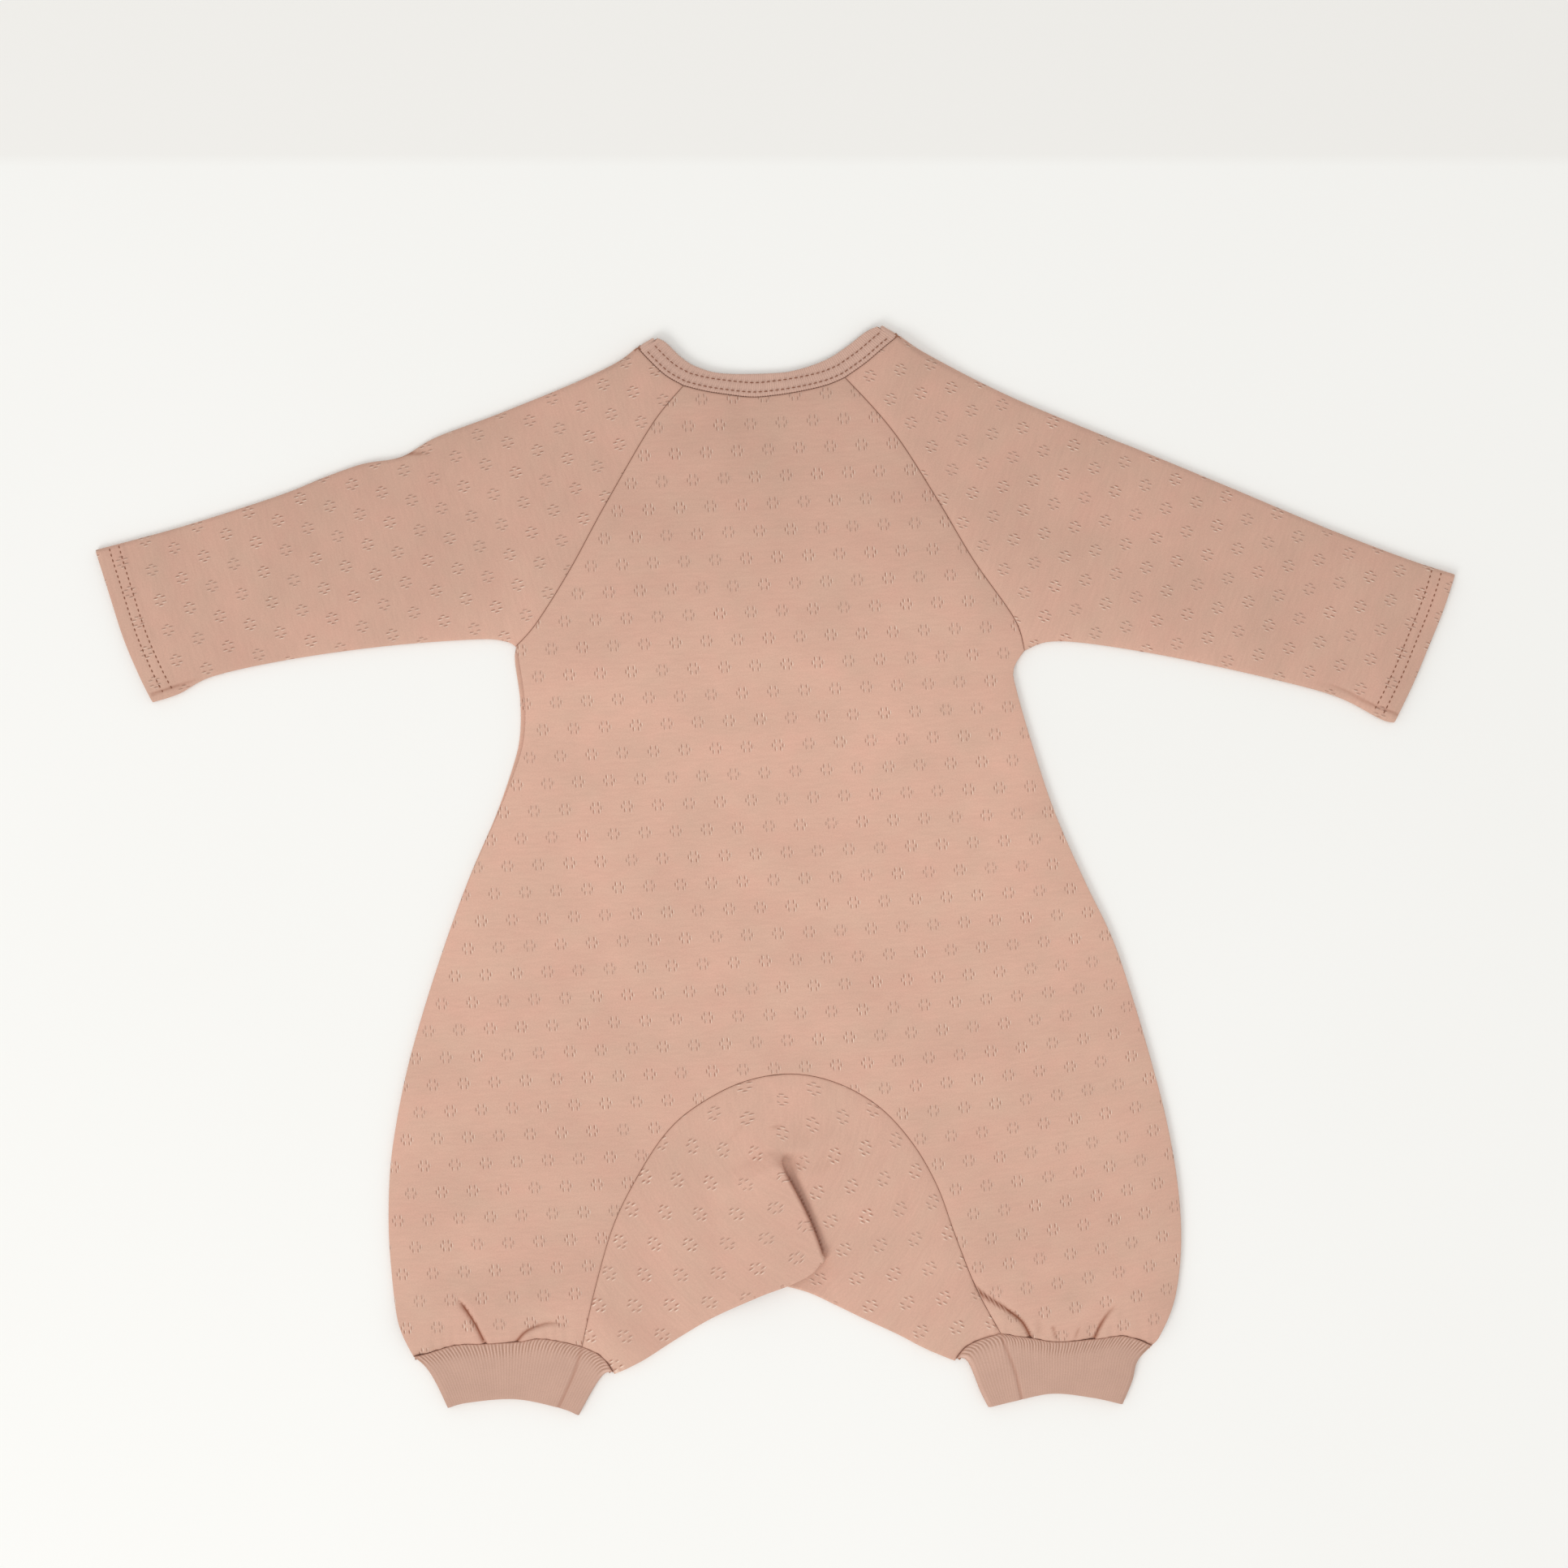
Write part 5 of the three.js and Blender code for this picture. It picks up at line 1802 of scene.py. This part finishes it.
        v, u = np.meshgrid(rows, left_u, indexing="ij")
        ends = arch_part(0, self.at), Line(LEFT_CROTCH_FOLD)
        left = coons_patch(*ends, Line(LEFT_GUSSET_SEAM), self.tuck_line, u, v)
        v, u = np.meshgrid(rows, right_u, indexing="ij")
        ends = arch_part(self.to, 1), right_fold
        right = coons_patch(*ends, self.tuck_end, Line(RIGHT_GUSSET_SEAM), u, v)
        upright = np.array([[0.0, 0.0, 1.0]])
        points, ups, halves, uvs = [], [], [], []
        for i, w in enumerate(rows):
            profile = self.profile(w)
            angle, flat = self.shape(w)
            direction = self.direction(w)
            start = left[i, -1]
            drop = profile[-1, 1]
            closed = float(eased(np.array(angle), 0, math.pi / 2))
            reach = flat + 3
            sides = []
            beside = (
                (left[i, :-1], start, drop, self.ease),
                (right[i, 1:], right[i, 0], 0.0, self.swell_beside),
            )
            for part, anchor, lift, ease in beside:
                near = 1 - eased(np.linalg.norm(part - anchor, axis=-1), reach, reach + ease)
                half = self.half_heights(part, near * closed)
                sides.append((raised(part, half + lift * near), half))
            half = float(self.half_heights(start[None], np.array([closed]))[0])
            tuck = start + direction * profile[:, :1]
            tuck_points = raised(tuck, half + drop - profile[:, 1])
            slope = profile[:, 2]
            tuck_up = raised(direction * np.sin(slope)[:, None], np.cos(slope))
            points.append(np.vstack([sides[0][0], tuck_points, sides[1][0]]))
            left_up, right_up = (upright.repeat(len(shares) - 1, 0) for shares in (left_u, right_u))
            ups.append(np.vstack([left_up, tuck_up, right_up]))
            halves.append(np.concatenate([sides[0][1], np.full(len(profile), half), sides[1][1]]))
            uvs.append(self.row_uv(left[i, :-1], start, right[i, 0], right[i, 1:], len(profile)))
        return np.array(points), np.array(ups), np.array(halves), np.array(uvs)

    def squared(self, points: Array, v: float, start: Array) -> Array:
        """Draws the upper bend of the tuck out into a crisper fold.

        Args:
            points: One face's points round the bend.
            v: Place from arch seam (0) to crotch fold (1).
            start: Middle of the cloth where the bend begins.

        Returns:
            The moved points.
        """
        angle, _ = self.shape(v)
        closed = float(eased(np.array(angle), 0.6 * math.pi, math.pi))
        if closed == 0:
            return points
        direction = raised(self.direction(v), 0.0)
        centre = start - np.array([0, 0, self.bend_length / angle])
        offset = points - centre
        across = offset @ direction
        turn = np.arctan2(np.abs(across), np.abs(offset[:, 2]))
        power = 2 + self.SQUARENESS * closed
        scale = (np.sin(turn) ** power + np.cos(turn) ** power) ** (-1 / power)
        moved = points.copy()
        moved += (across * (scale - 1))[:, None] * direction
        moved[:, 2] += offset[:, 2] * (scale - 1)
        return moved

    def row_uv(self, left: Array, start: Array, end: Array, right: Array, count: int) -> Array:
        """Places on the unfolded cloth for one row.

        Args:
            left: Flat points left of the tuck.
            start: The tuck's left end.
            end: The tuck's right end.
            right: Flat points right of the tuck.
            count: Points in the tuck itself.

        Returns:
            The places, u and v last.
        """
        unfolded = []
        for points, on_left in ((np.vstack([left, start]), True), (np.vstack([end, right]), False)):
            radius, angle = self.unfolded_angle(points, on_left)
            turned = np.stack([np.cos(angle), np.sin(angle)], axis=-1)
            unfolded.append(radius[:, None] * turned)
        first, last = unfolded[0][-1], unfolded[1][0]
        share = np.linspace(0, 1, count)[:, None]
        tuck = first + (last - first) * (0.5 * share + 0.5 * share**3)
        return np.vstack([unfolded[0][:-1], tuck, unfolded[1][1:]])

    def build(self, material: Material) -> Object:
        """Makes the gusset.

        Args:
            material: Its cloth.

        Returns:
            The gusset's object.
        """
        middle, up, half, uv = self.middle_cloth()
        middle[..., :2] = trimmed(middle[..., :2], "first", "left", "right")
        fold = middle[-1]
        run = np.gradient(fold[:, :2], axis=0)
        outward = np.stack([run[:, 1], -run[:, 0]], axis=1)
        outward /= np.linalg.norm(outward, axis=1, keepdims=True)
        sides, right_side = (len(shares) - 1 for shares in self.side_shares())
        across = self.direction(1.0)
        outward[sides : len(fold) - right_side] = (across[1], -across[0])
        outward = raised(outward, 0.0)
        turns = np.radians([67.5, 45, 22.5, 0, -22.5, -45, -67.5])

        def face(inset: float) -> Array:
            """One face of the wall: upper ply, fold and lower ply.

            Args:
                inset: Depth under the outer face.

            Returns:
                Its points.
            """
            reach = (half - inset)[..., None]
            round_fold = [
                fold + outward * reach[-1] * math.cos(t) + up[-1] * reach[-1] * math.sin(t)
                for t in turns
            ]
            return np.concatenate([middle + up * reach, np.array(round_fold), (middle - up * reach)[::-1]])

        outer, inner = rested(face(0.0)), face(WALL)
        for i, w in enumerate(self.row_shares()):
            for grid in (outer, inner):
                columns = grid[i, sides : sides + self.bend_columns + 1]
                grid[i, sides : sides + self.bend_columns + 1] = self.squared(columns, w, middle[i, sides])
        flat = outer[..., :2]
        place = np.concatenate([uv, np.repeat(uv[-1:], len(turns), axis=0), uv[::-1]])
        # Painted shade of the seams and creases, as the seam mark
        seam = self.laid.painted_seam_shade(flat)
        directions = np.array([self.direction(w) for w in self.row_shares()])
        edge = Nearness((middle[:, sides, :2] + directions * self.overhang)[::6], spacing=1.0)
        closed = eased(self.row_shares(), self.tip + 0.6 * self.turn, self.tip + 1.2 * self.turn)
        beside = np.s_[: len(middle), sides:]
        # Painted shadow: a dark line on the cloth beside the tuck's edge
        contact_shadow = bell(edge(flat[beside]) / self.edge_shade) * closed[:, None]
        seam[beside] = np.maximum(seam[beside], contact_shadow)
        seam[len(middle) :] = 0
        made = Wall(outer, inner, place, marks={"seam": seam}).build("gusset_cloth", material)
        dress(made, "gusset")
        return made


@dataclass
class NeckBinding:
    """The rib band round the neck: along the back, turned over at each tip, and along the front.

    Attributes:
        laid: Heights of the upper ply.
        rib_pitch: Spacing of the ribs along the band.
        rib_relief: Height of a rib.
        columns_per_rib: Stations for each rib.
        crown_share: How much of the crown's pale colour the valleys keep under their painted shade.
        rib_share: How much more of it the crowns have.
        stitch_rows: Distances of the twin-needle rows from the seam.
    """

    laid: LaidCloth
    rib_pitch: float = 1.25
    rib_relief: float = 0.28
    columns_per_rib: int = 4
    crown_share: float = 0.75
    rib_share: float = 0.6
    stitch_rows: tuple[float, float] = (2.4, 7.0)

    TURN_SHARE = 0.02
    TURN_GAP = 1.3
    NECK_LENGTHS = (145, 190)  # along the back and along the front
    TURN_ANGLES = (0.0, 22.5, 45.0, 67.5, 90.0, 112.5, 135.0, 157.5, 180.0)

    def seams(self) -> tuple[Path, Path]:
        """The back and the front seam line of the band.

        Returns:
            The two lines.
        """
        return (
            chained(LEFT_NECK_SEAM, BACK_NECK_SEAM, RIGHT_NECK_SEAM),
            chained(LEFT_FRONT_NECK, FRONT_NECK_SEAM, RIGHT_FRONT_NECK),
        )

    def section(self) -> tuple[Array, Array]:
        """Sets out the band's section, round from the seam to the free edge and back.

        Returns:
            Shares from seam to free edge, and the face's place in the thickness, from -1 to 1.
        """
        run = np.array([0.0, 0.06, 0.14, 0.24, 0.36, 0.48, 0.56, 0.66, 0.78, 0.88, 0.94])
        edge = np.array([[0.975, 0.8], [0.995, 0.42], [1.0, 0.0], [0.995, -0.42], [0.975, -0.8]])
        across = np.concatenate([run, edge[:, 0], run[::-1]])
        thick = np.concatenate([np.ones(len(run)), edge[:, 1], -np.ones(len(run))])
        thick[0], thick[-1] = 0.7, -0.7
        return across, thick

    def top(self, points: Array) -> Array:
        """Middle height of the upper half of the band."""
        return self.laid.upper(points) - BINDING_WALL / 2

    def rings(self, seam: Array, free: Array, seam_z: Array, free_z: Array, up: Array, gap: float) -> Array:
        """Sections of the band at some stations.

        Args:
            seam: Points on the seam.
            free: Points on the free edge.
            seam_z: Heights at the seam.
            free_z: Heights at the free edge.
            up: Outward direction of the band's upper face.
            gap: Space left clear at the seam.

        Returns:
            The sections' points, one row for each station.
        """
        across, thick = self.section()
        width = np.linalg.norm(free - seam, axis=-1)[:, None]
        t = gap / width + (1 - gap / width) * across[None, :]
        flat = seam[:, None] + t[..., None] * (free - seam)[:, None]
        level = seam_z[:, None] + t * (free_z - seam_z)[:, None]
        dip = sum(bell((t * width - row) / 0.7) for row in self.stitch_rows)
        depth = (BINDING_WALL / 2) * thick[None, :] - np.sign(thick) * 0.15 * dip
        return raised(flat, level) + up[:, None] * depth[..., None]

    def half_rings(self, seam: Path, free_edge: Outline, count: int, under: bool) -> Array:
        """Sections along the back or along the front of the neck.

        Args:
            seam: The seam line.
            free_edge: The free edge.
            count: Number of stations.
            under: Whether this half lies beneath.

        Returns:
            The sections' points.
        """
        share = np.linspace(self.TURN_SHARE, 1 - self.TURN_SHARE, count)
        at_seam, at_edge = seam(share), Line(free_edge)(share)
        up = np.tile([0.0, 0.0, -1.0 if under else 1.0], (count, 1))
        if under:
            level = np.full(count, BINDING_WALL / 2)
            return self.rings(at_seam, at_edge, level, level, up, SEAM_GAP / 2)[::-1]
        levels = self.top(at_seam), self.top(at_edge)
        return self.rings(at_seam, at_edge, *levels, up, SEAM_GAP / 2)

    def turned_over(self, shoulder: Point, tip: Point, to_front: bool) -> Array:
        """Sections round the fold at a tip of the neck.

        Args:
            shoulder: The fold's end at the seam.
            tip: The fold's end at the free edge.
            to_front: Whether the band turns from the back to the front, or back again.

        Returns:
            The sections' points.
        """
        seam, free = np.array(shoulder, float), np.array(tip, float)
        fold = (free - seam) / np.linalg.norm(free - seam)
        outward = np.array([fold[1], -fold[0]])
        outward *= np.sign(outward[1])
        half = BINDING_WALL / 2
        radius = (self.top(np.array([seam, free])) - half) / 2
        sections = []
        for angle in np.radians(self.TURN_ANGLES if to_front else self.TURN_ANGLES[::-1]):
            ends = [p + outward * (r * math.sin(angle) - r - half) for p, r in zip((seam, free), radius)]
            levels = half + radius * (1 + math.cos(angle))
            up = np.array([[*(outward * math.sin(angle)), math.cos(angle)]])
            ends = ends[0][None], ends[1][None]
            sections.append(self.rings(*ends, levels[:1], levels[1:], up, self.TURN_GAP)[0])
        return np.array(sections)

    def build(self, material: Material) -> Object:
        """Makes the binding.

        Args:
            material: Its rib.

        Returns:
            The binding's object.
        """
        back, front = self.seams()
        ribs = [round(length / self.rib_pitch) for length in self.NECK_LENGTHS]
        counts = [count * self.columns_per_rib for count in ribs]
        rings = np.concatenate([
            self.half_rings(back, NECK_FREE_EDGE, counts[0], False),
            self.turned_over(RIGHT_SHOULDER, RIGHT_TIP, True),
            self.half_rings(front, FRONT_NECK_FREE_EDGE, counts[1], True),
            self.turned_over(LEFT_SHOULDER, LEFT_TIP, False),
        ])
        phase = np.arange(len(rings)) * 2 * math.pi / self.columns_per_rib
        rib = np.broadcast_to((0.5 + 0.5 * np.cos(phase))[:, None], rings.shape[:2])
        normals = face_normals(rings, Closing.RING)
        middle = rings.mean(axis=1, keepdims=True)
        if np.mean(np.sum(normals * (rings - middle), axis=-1)) < 0:
            normals = -normals
        outer = rested(rings + normals * ((rib - 1) * self.rib_relief)[..., None])
        # Painted shade along the band's seam on its upper face
        seam = 0.35 * bell(self.laid.seams(outer[..., :2]) / 0.5) * (outer[..., 2] > 2)
        place = np.stack([np.broadcast_to(phase[:, None], rib.shape), outer[..., 0]], axis=-1)
        # The rib mark carries the painted shade between the ribs
        marks = {"seam": seam, "rib": self.crown_share + self.rib_share * rib}
        made = Wall(outer, None, place, Closing.RING, marks).build("neck_binding_rib", material)
        dress(made, "neck_binding")
        return made


@dataclass
class StitchRow:
    """A row of lockstitches as single short threads.

    Attributes:
        line: Flat points that the row follows.
        height: Height of the cloth's face at flat points.
        under: Whether the row shows on the underside.
        pitch: Length of a stitch.
        dash: Length of thread that shows of it.
        thickness: Thickness of the thread.
    """

    line: Array
    height: Callable[[Array], Array]
    under: bool = False
    pitch: float = 2.7
    dash: float = 2.0
    thickness: float = 0.62

    SIDES = 8
    RINGS = (0.0, 0.35, 0.75, 1.0, 1.0, 0.75, 0.35, 0.0)
    SINK = 0.32  # how far a stitch's ends sink into the cloth
    PROUD = 0.16  # height of a stitch's middle over the upper face
    INSET = 0.14  # its height over the surface under the lower face

    def mesh_parts(self) -> tuple[Array, Array]:
        """Shapes all stitches of the row.

        Returns:
            Their points in millimetres, and their quads.
        """
        steps = np.linalg.norm(np.diff(self.line, axis=0), axis=1)
        run = np.concatenate([[0], np.cumsum(steps)])
        count = int(run[-1] // self.pitch)
        middles = (np.arange(count) + 0.5) * run[-1] / count
        reach = self.dash / 2
        rings = np.linspace(-1, 1, len(self.RINGS))
        angles = np.arange(self.SIDES) * 2 * math.pi / self.SIDES
        vertices, faces = [], []
        for middle in middles:
            at = middle + rings * reach
            flat = np.stack([np.interp(at, run, self.line[:, k]) for k in range(2)], axis=-1)
            along = flat[-1] - flat[0]
            along /= np.linalg.norm(along)
            side = np.array([-along[1], along[0]])
            level = float(self.height(flat[len(flat) // 2][None])[0])
            sink = self.SINK * np.abs(rings) ** 2
            start = len(vertices) * len(rings) * self.SIDES
            radius = self.thickness / 2 * np.sqrt(np.maximum(np.array(self.RINGS), 0.02))
            centre_z = level + (self.INSET + sink if self.under else self.PROUD - sink)
            across = radius[:, None] * np.cos(angles)
            upright = 0.7 * radius[:, None] * np.sin(angles)
            points = np.empty((len(rings), self.SIDES, 3))
            points[..., :2] = flat[:, None] + across[..., None] * side
            points[..., 2] = centre_z[:, None] + upright
            vertices.append(points.reshape(-1, 3))
            i = np.arange(len(rings) - 1)[:, None] * self.SIDES
            j = np.arange(self.SIDES)[None, :]
            k = (j + 1) % self.SIDES
            quads = np.stack([i + j, i + k, i + self.SIDES + k, i + self.SIDES + j], axis=-1)
            faces.append(quads.reshape(-1, 4) + start)
        return np.vstack(vertices), np.vstack(faces)


def build_stitches(name: str, rows: Sequence[StitchRow], material: Material) -> Object:
    """Joins rows of stitches into one piece.

    Args:
        name: Name of the piece.
        rows: The rows.
        material: The thread.

    Returns:
        The piece.
    """
    vertices, faces, count = [], [], 0
    for row in rows:
        points, quads = row.mesh_parts()
        vertices.append(points)
        faces.append(quads + count)
        count += len(points)
    made = smooth_piece(name, np.vstack(vertices) * MM, np.vstack(faces), material)
    bpy.ops.object.select_all(action="DESELECT")
    bpy.context.view_layer.objects.active = made
    made.select_set(True)
    bpy.ops.object.mode_set(mode="EDIT")
    bpy.ops.mesh.select_all(action="SELECT")
    bpy.ops.mesh.fill_holes(sides=StitchRow.SIDES)
    bpy.ops.mesh.normals_make_consistent(inside=False)
    bpy.ops.object.mode_set(mode="OBJECT")
    dress(made, None)
    return made


def offset_line(points: Array, distance: float) -> Array:
    """Moves a sampled line square to its run.

    Args:
        points: The line's points.
        distance: How far to the left of its run.

    Returns:
        The moved points.
    """
    run = np.gradient(points, axis=0)
    left = np.stack([-run[:, 1], run[:, 0]], axis=1)
    return points + left / np.linalg.norm(left, axis=1, keepdims=True) * distance


@dataclass
class SeamAllowance:
    """The overlocked edges that lie under a seam, their thread coloured darker than the cloth as painted
    seam shade, seen through the seam as a thin dark line.

    Attributes:
        name: Name of the piece.
        lines: The seams' points.
        laid: Heights of the upper ply.
        width: Width of the allowance.
        thickness: Thickness of the pressed edges.
        clear: Space between them and the wall above.
        step: Spacing of the band's stations.
    """

    name: str
    lines: tuple[Outline, ...]
    laid: LaidCloth
    width: float = 4.0
    thickness: float = 0.3
    clear: float = 0.12
    step: float = 2.5

    def build(self, material: Material) -> Object:
        """Makes the allowance as a narrow closed band under the wall.

        Args:
            material: The thread that binds it, darker than the cloth as painted seam shade.

        Returns:
            The piece.
        """
        length = sum(Line(line).length for line in self.lines)
        centre = chained(*self.lines)(np.linspace(0.004, 0.996, round(length / self.step)))
        sides = np.stack([offset_line(centre, d) for d in np.linspace(-1, 1, 5) * self.width / 2], axis=1)
        top = self.laid.upper(sides) - WALL - self.clear
        outer = raised(sides, top)
        inner = raised(sides, top - self.thickness)
        made = Wall(outer, inner, sides).build(self.name, material)
        dress(made, None)
        return made


@dataclass
class Studio:
    """The pale floor, the soft light and the camera straight above the garment."""

    floor_size: float = 6.0
    floor_level: float = -0.0004
    backdrop: tuple[float, float] = (0.347, 0.353)
    sensor: float = 36.0
    camera_height: float = 1.3
    view_width: float = 0.7728
    centre: Point = (0.0042, 0.0424)

    def floor(self) -> None:
        """Adds the floor."""
        bpy.ops.mesh.primitive_plane_add(size=self.floor_size, location=(0, 0, self.floor_level))
        floor = bpy.context.object
        floor.name = "floor"
        material = bpy.data.materials.new("matt white paper")
        material.use_nodes = True
        tree = material.node_tree
        shader = tree.nodes["Principled BSDF"]
        shader.inputs["Roughness"].default_value = 0.85
        place = add_node(tree, "ShaderNodeTexCoord").outputs["Object"]
        mottle = add_node(tree, "ShaderNodeTexNoise", {0: place, "Scale": 3.0, "Detail": 2.0})
        whites = {0: mottle.outputs[0], 6: linear("#F5F5F2"), 7: linear("#F9F9F7")}
        paper = add_node(tree, "ShaderNodeMix", whites, data_type="RGBA")
        parts = add_node(tree, "ShaderNodeSeparateXYZ", {0: place})
        edge = {0: parts.outputs[1], 1: self.backdrop[0], 2: self.backdrop[1], 4: 1.0}
        beyond = add_node(tree, "ShaderNodeMapRange", edge)
        greys = {0: beyond.outputs[0], 6: paper.outputs[2], 7: linear("#F2F1EE")}
        backed = add_node(tree, "ShaderNodeMix", greys, data_type="RGBA")
        tree.links.new(backed.outputs[2], shader.inputs["Base Color"])
        floor.data.materials.append(material)

    def light(self, name: str, place: tuple[float, float, float], size: float, power: float) -> None:
        """Adds a soft square light that faces the garment.

        Args:
            name: Name of the light.
            place: Its place in metres.
            size: Its side in metres.
            power: Its power in watts.
        """
        data = bpy.data.lights.new(name, "AREA")
        data.shape = "SQUARE"
        data.size = size
        data.energy = power
        lamp = bpy.data.objects.new(name, data)
        lamp.location = place
        lamp.rotation_euler = (-Vector(place)).to_track_quat("-Z", "Y").to_euler()
        bpy.context.scene.collection.objects.link(lamp)

    def build(self) -> None:
        """Adds floor, lights, surroundings and camera."""
        self.floor()
        self.light("key", (-1.76, -2.4, 2.4), 1.5, 44.0)
        self.light("fill", (0.0, 0.2, 2.4), 2.0, 7.2)
        world = bpy.data.worlds.new("room")
        bpy.context.scene.world = world
        world.use_nodes = True
        background = world.node_tree.nodes["Background"]
        background.inputs[0].default_value = linear("#FFFEFC")
        background.inputs[1].default_value = 0.712
        bpy.context.scene.view_settings.view_transform = "Standard"
        data = bpy.data.cameras.new("overhead")
        data.sensor_width = self.sensor
        data.lens = self.sensor * self.camera_height / self.view_width
        data.clip_end = 20
        camera = bpy.data.objects.new("overhead", data)
        camera.location = (*self.centre, self.camera_height)
        bpy.context.scene.collection.objects.link(camera)
        bpy.context.scene.camera = camera


def sleeve_stitches(sleeve: Sleeve) -> list[StitchRow]:
    """The twin-needle rows of a sleeve's hem, on both plies.

    Args:
        sleeve: The sleeve.

    Returns:
        The rows.
    """
    hem = Line(sleeve.hem)
    towards_body = 1.0 if sleeve.hem[0][0] > 0 else -1.0
    rows = []
    for distance in sleeve.hem_rows:
        line = offset_line(hem(np.linspace(0, 1, 40)), towards_body * distance)
        middle = Line(line[::3])(np.linspace(0.015, 0.985, 60))
        rows += [StitchRow(middle, sleeve.height), StitchRow(middle, on_surface, under=True)]
    return rows


def binding_stitches(binding: NeckBinding) -> list[StitchRow]:
    """The twin-needle rows of the neck binding, along the back and along the front.

    Args:
        binding: The binding.

    Returns:
        The rows.
    """
    back, front = binding.seams()
    share = np.linspace(0.035, 0.965, 90)
    rows = []
    for seam, free_edge in ((back, NECK_FREE_EDGE), (front, FRONT_NECK_FREE_EDGE)):
        at_seam, at_edge = seam(share), Line(free_edge)(share)
        width = np.linalg.norm(at_edge - at_seam, axis=1, keepdims=True)
        under = seam is front
        height = on_surface if under else binding.laid.upper
        for distance in binding.stitch_rows:
            line = at_seam + (at_edge - at_seam) * distance / width
            rows.append(StitchRow(line, height, under=under))
    return rows


def main() -> None:
    """Builds the romper, piece by piece, and sets it on its floor."""
    logging.basicConfig(level=logging.INFO, format="%(name)s %(message)s")
    jersey = PointelleJersey().make()
    rib = RibKnit().make()
    thread = SewingThread("topstitching thread", "#A06C55", "#85533F").make()
    # Real overlock thread, coloured darker than the cloth as painted seam shade
    overlock_seam_shade = SewingThread("overlock thread with painted seam shade", "#BE8A73", "#A06A50").make()
    laid = LaidCloth()

    back = BodyPanel(
        "back_panel_cloth", "back_panel", BACK_NECK_SEAM, LEFT_RAGLAN, RIGHT_RAGLAN, laid,
        leg_step=1.1, arch_step=4.4, row_step=3.2, left_side=LEFT_BACK_SIDE,
    ).build(jersey)
    front = BodyPanel(
        "front_panel_cloth", "front_panel", FRONT_NECK_SEAM, LEFT_FRONT_RAGLAN, RIGHT_FRONT_RAGLAN,
        None, leg_step=3.5, arch_step=6.0, row_step=4.0,
    ).build(jersey)
    left = Sleeve(
        "sleeve_left_cloth", "sleeve_left", LEFT_HEM, LEFT_SLEEVE_UNDER, LEFT_SLEEVE_TOP,
        (LEFT_RAGLAN, LEFT_NECK_SEAM[::-1]), (LEFT_FRONT_RAGLAN, LEFT_FRONT_NECK[::-1]),
        Grain(15.0), laid,
    )
    right = Sleeve(
        "sleeve_right_cloth", "sleeve_right", RIGHT_HEM, RIGHT_SLEEVE_UNDER, RIGHT_SLEEVE_TOP,
        (RIGHT_RAGLAN, RIGHT_NECK_SEAM), (RIGHT_FRONT_RAGLAN, RIGHT_FRONT_NECK),
        Grain(-18.5), laid,
    )
    sleeves = [left.build(jersey), right.build(jersey)]
    gusset = Gusset(laid).build(jersey)
    cuffs = [
        RibCuff(
            "cuff_left_rib", "cuff_left", LEFT_LEG_SEAM, LEFT_GUSSET_SEAM, LEFT_CUFF_END,
            LEFT_CUFF_OUTER, LEFT_CUFF_INNER, LEFT_CUFF_JOIN, laid,
        ).build(rib),
        RibCuff(
            "cuff_right_rib", "cuff_right", RIGHT_LEG_SEAM[::-1], RIGHT_GUSSET_SEAM, RIGHT_CUFF_END,
            RIGHT_CUFF_OUTER, RIGHT_CUFF_INNER, RIGHT_CUFF_JOIN, laid,
        ).build(rib),
    ]
    binding_cut = NeckBinding(laid)
    binding = binding_cut.build(rib)

    hem_left = build_stitches("hem_stitches_left", sleeve_stitches(left), thread)
    hem_right = build_stitches("hem_stitches_right", sleeve_stitches(right), thread)
    neck = build_stitches("neck_stitches", binding_stitches(binding_cut), thread)
    seams = {
        "left_raglan_allowance": (LEFT_RAGLAN,),
        "right_raglan_allowance": (RIGHT_RAGLAN,),
        "arch_allowance": (ARCH,),
        "left_cuff_allowance": (LEFT_LEG_SEAM, LEFT_GUSSET_SEAM),
        "right_cuff_allowance": (RIGHT_LEG_SEAM[::-1], RIGHT_GUSSET_SEAM),
        "neck_allowance": (LEFT_NECK_SEAM, BACK_NECK_SEAM, RIGHT_NECK_SEAM),
    }
    allowances = [SeamAllowance(name, lines, laid).build(overlock_seam_shade) for name, lines in seams.items()]

    Studio().build()


if __name__ == "__main__":
    main()
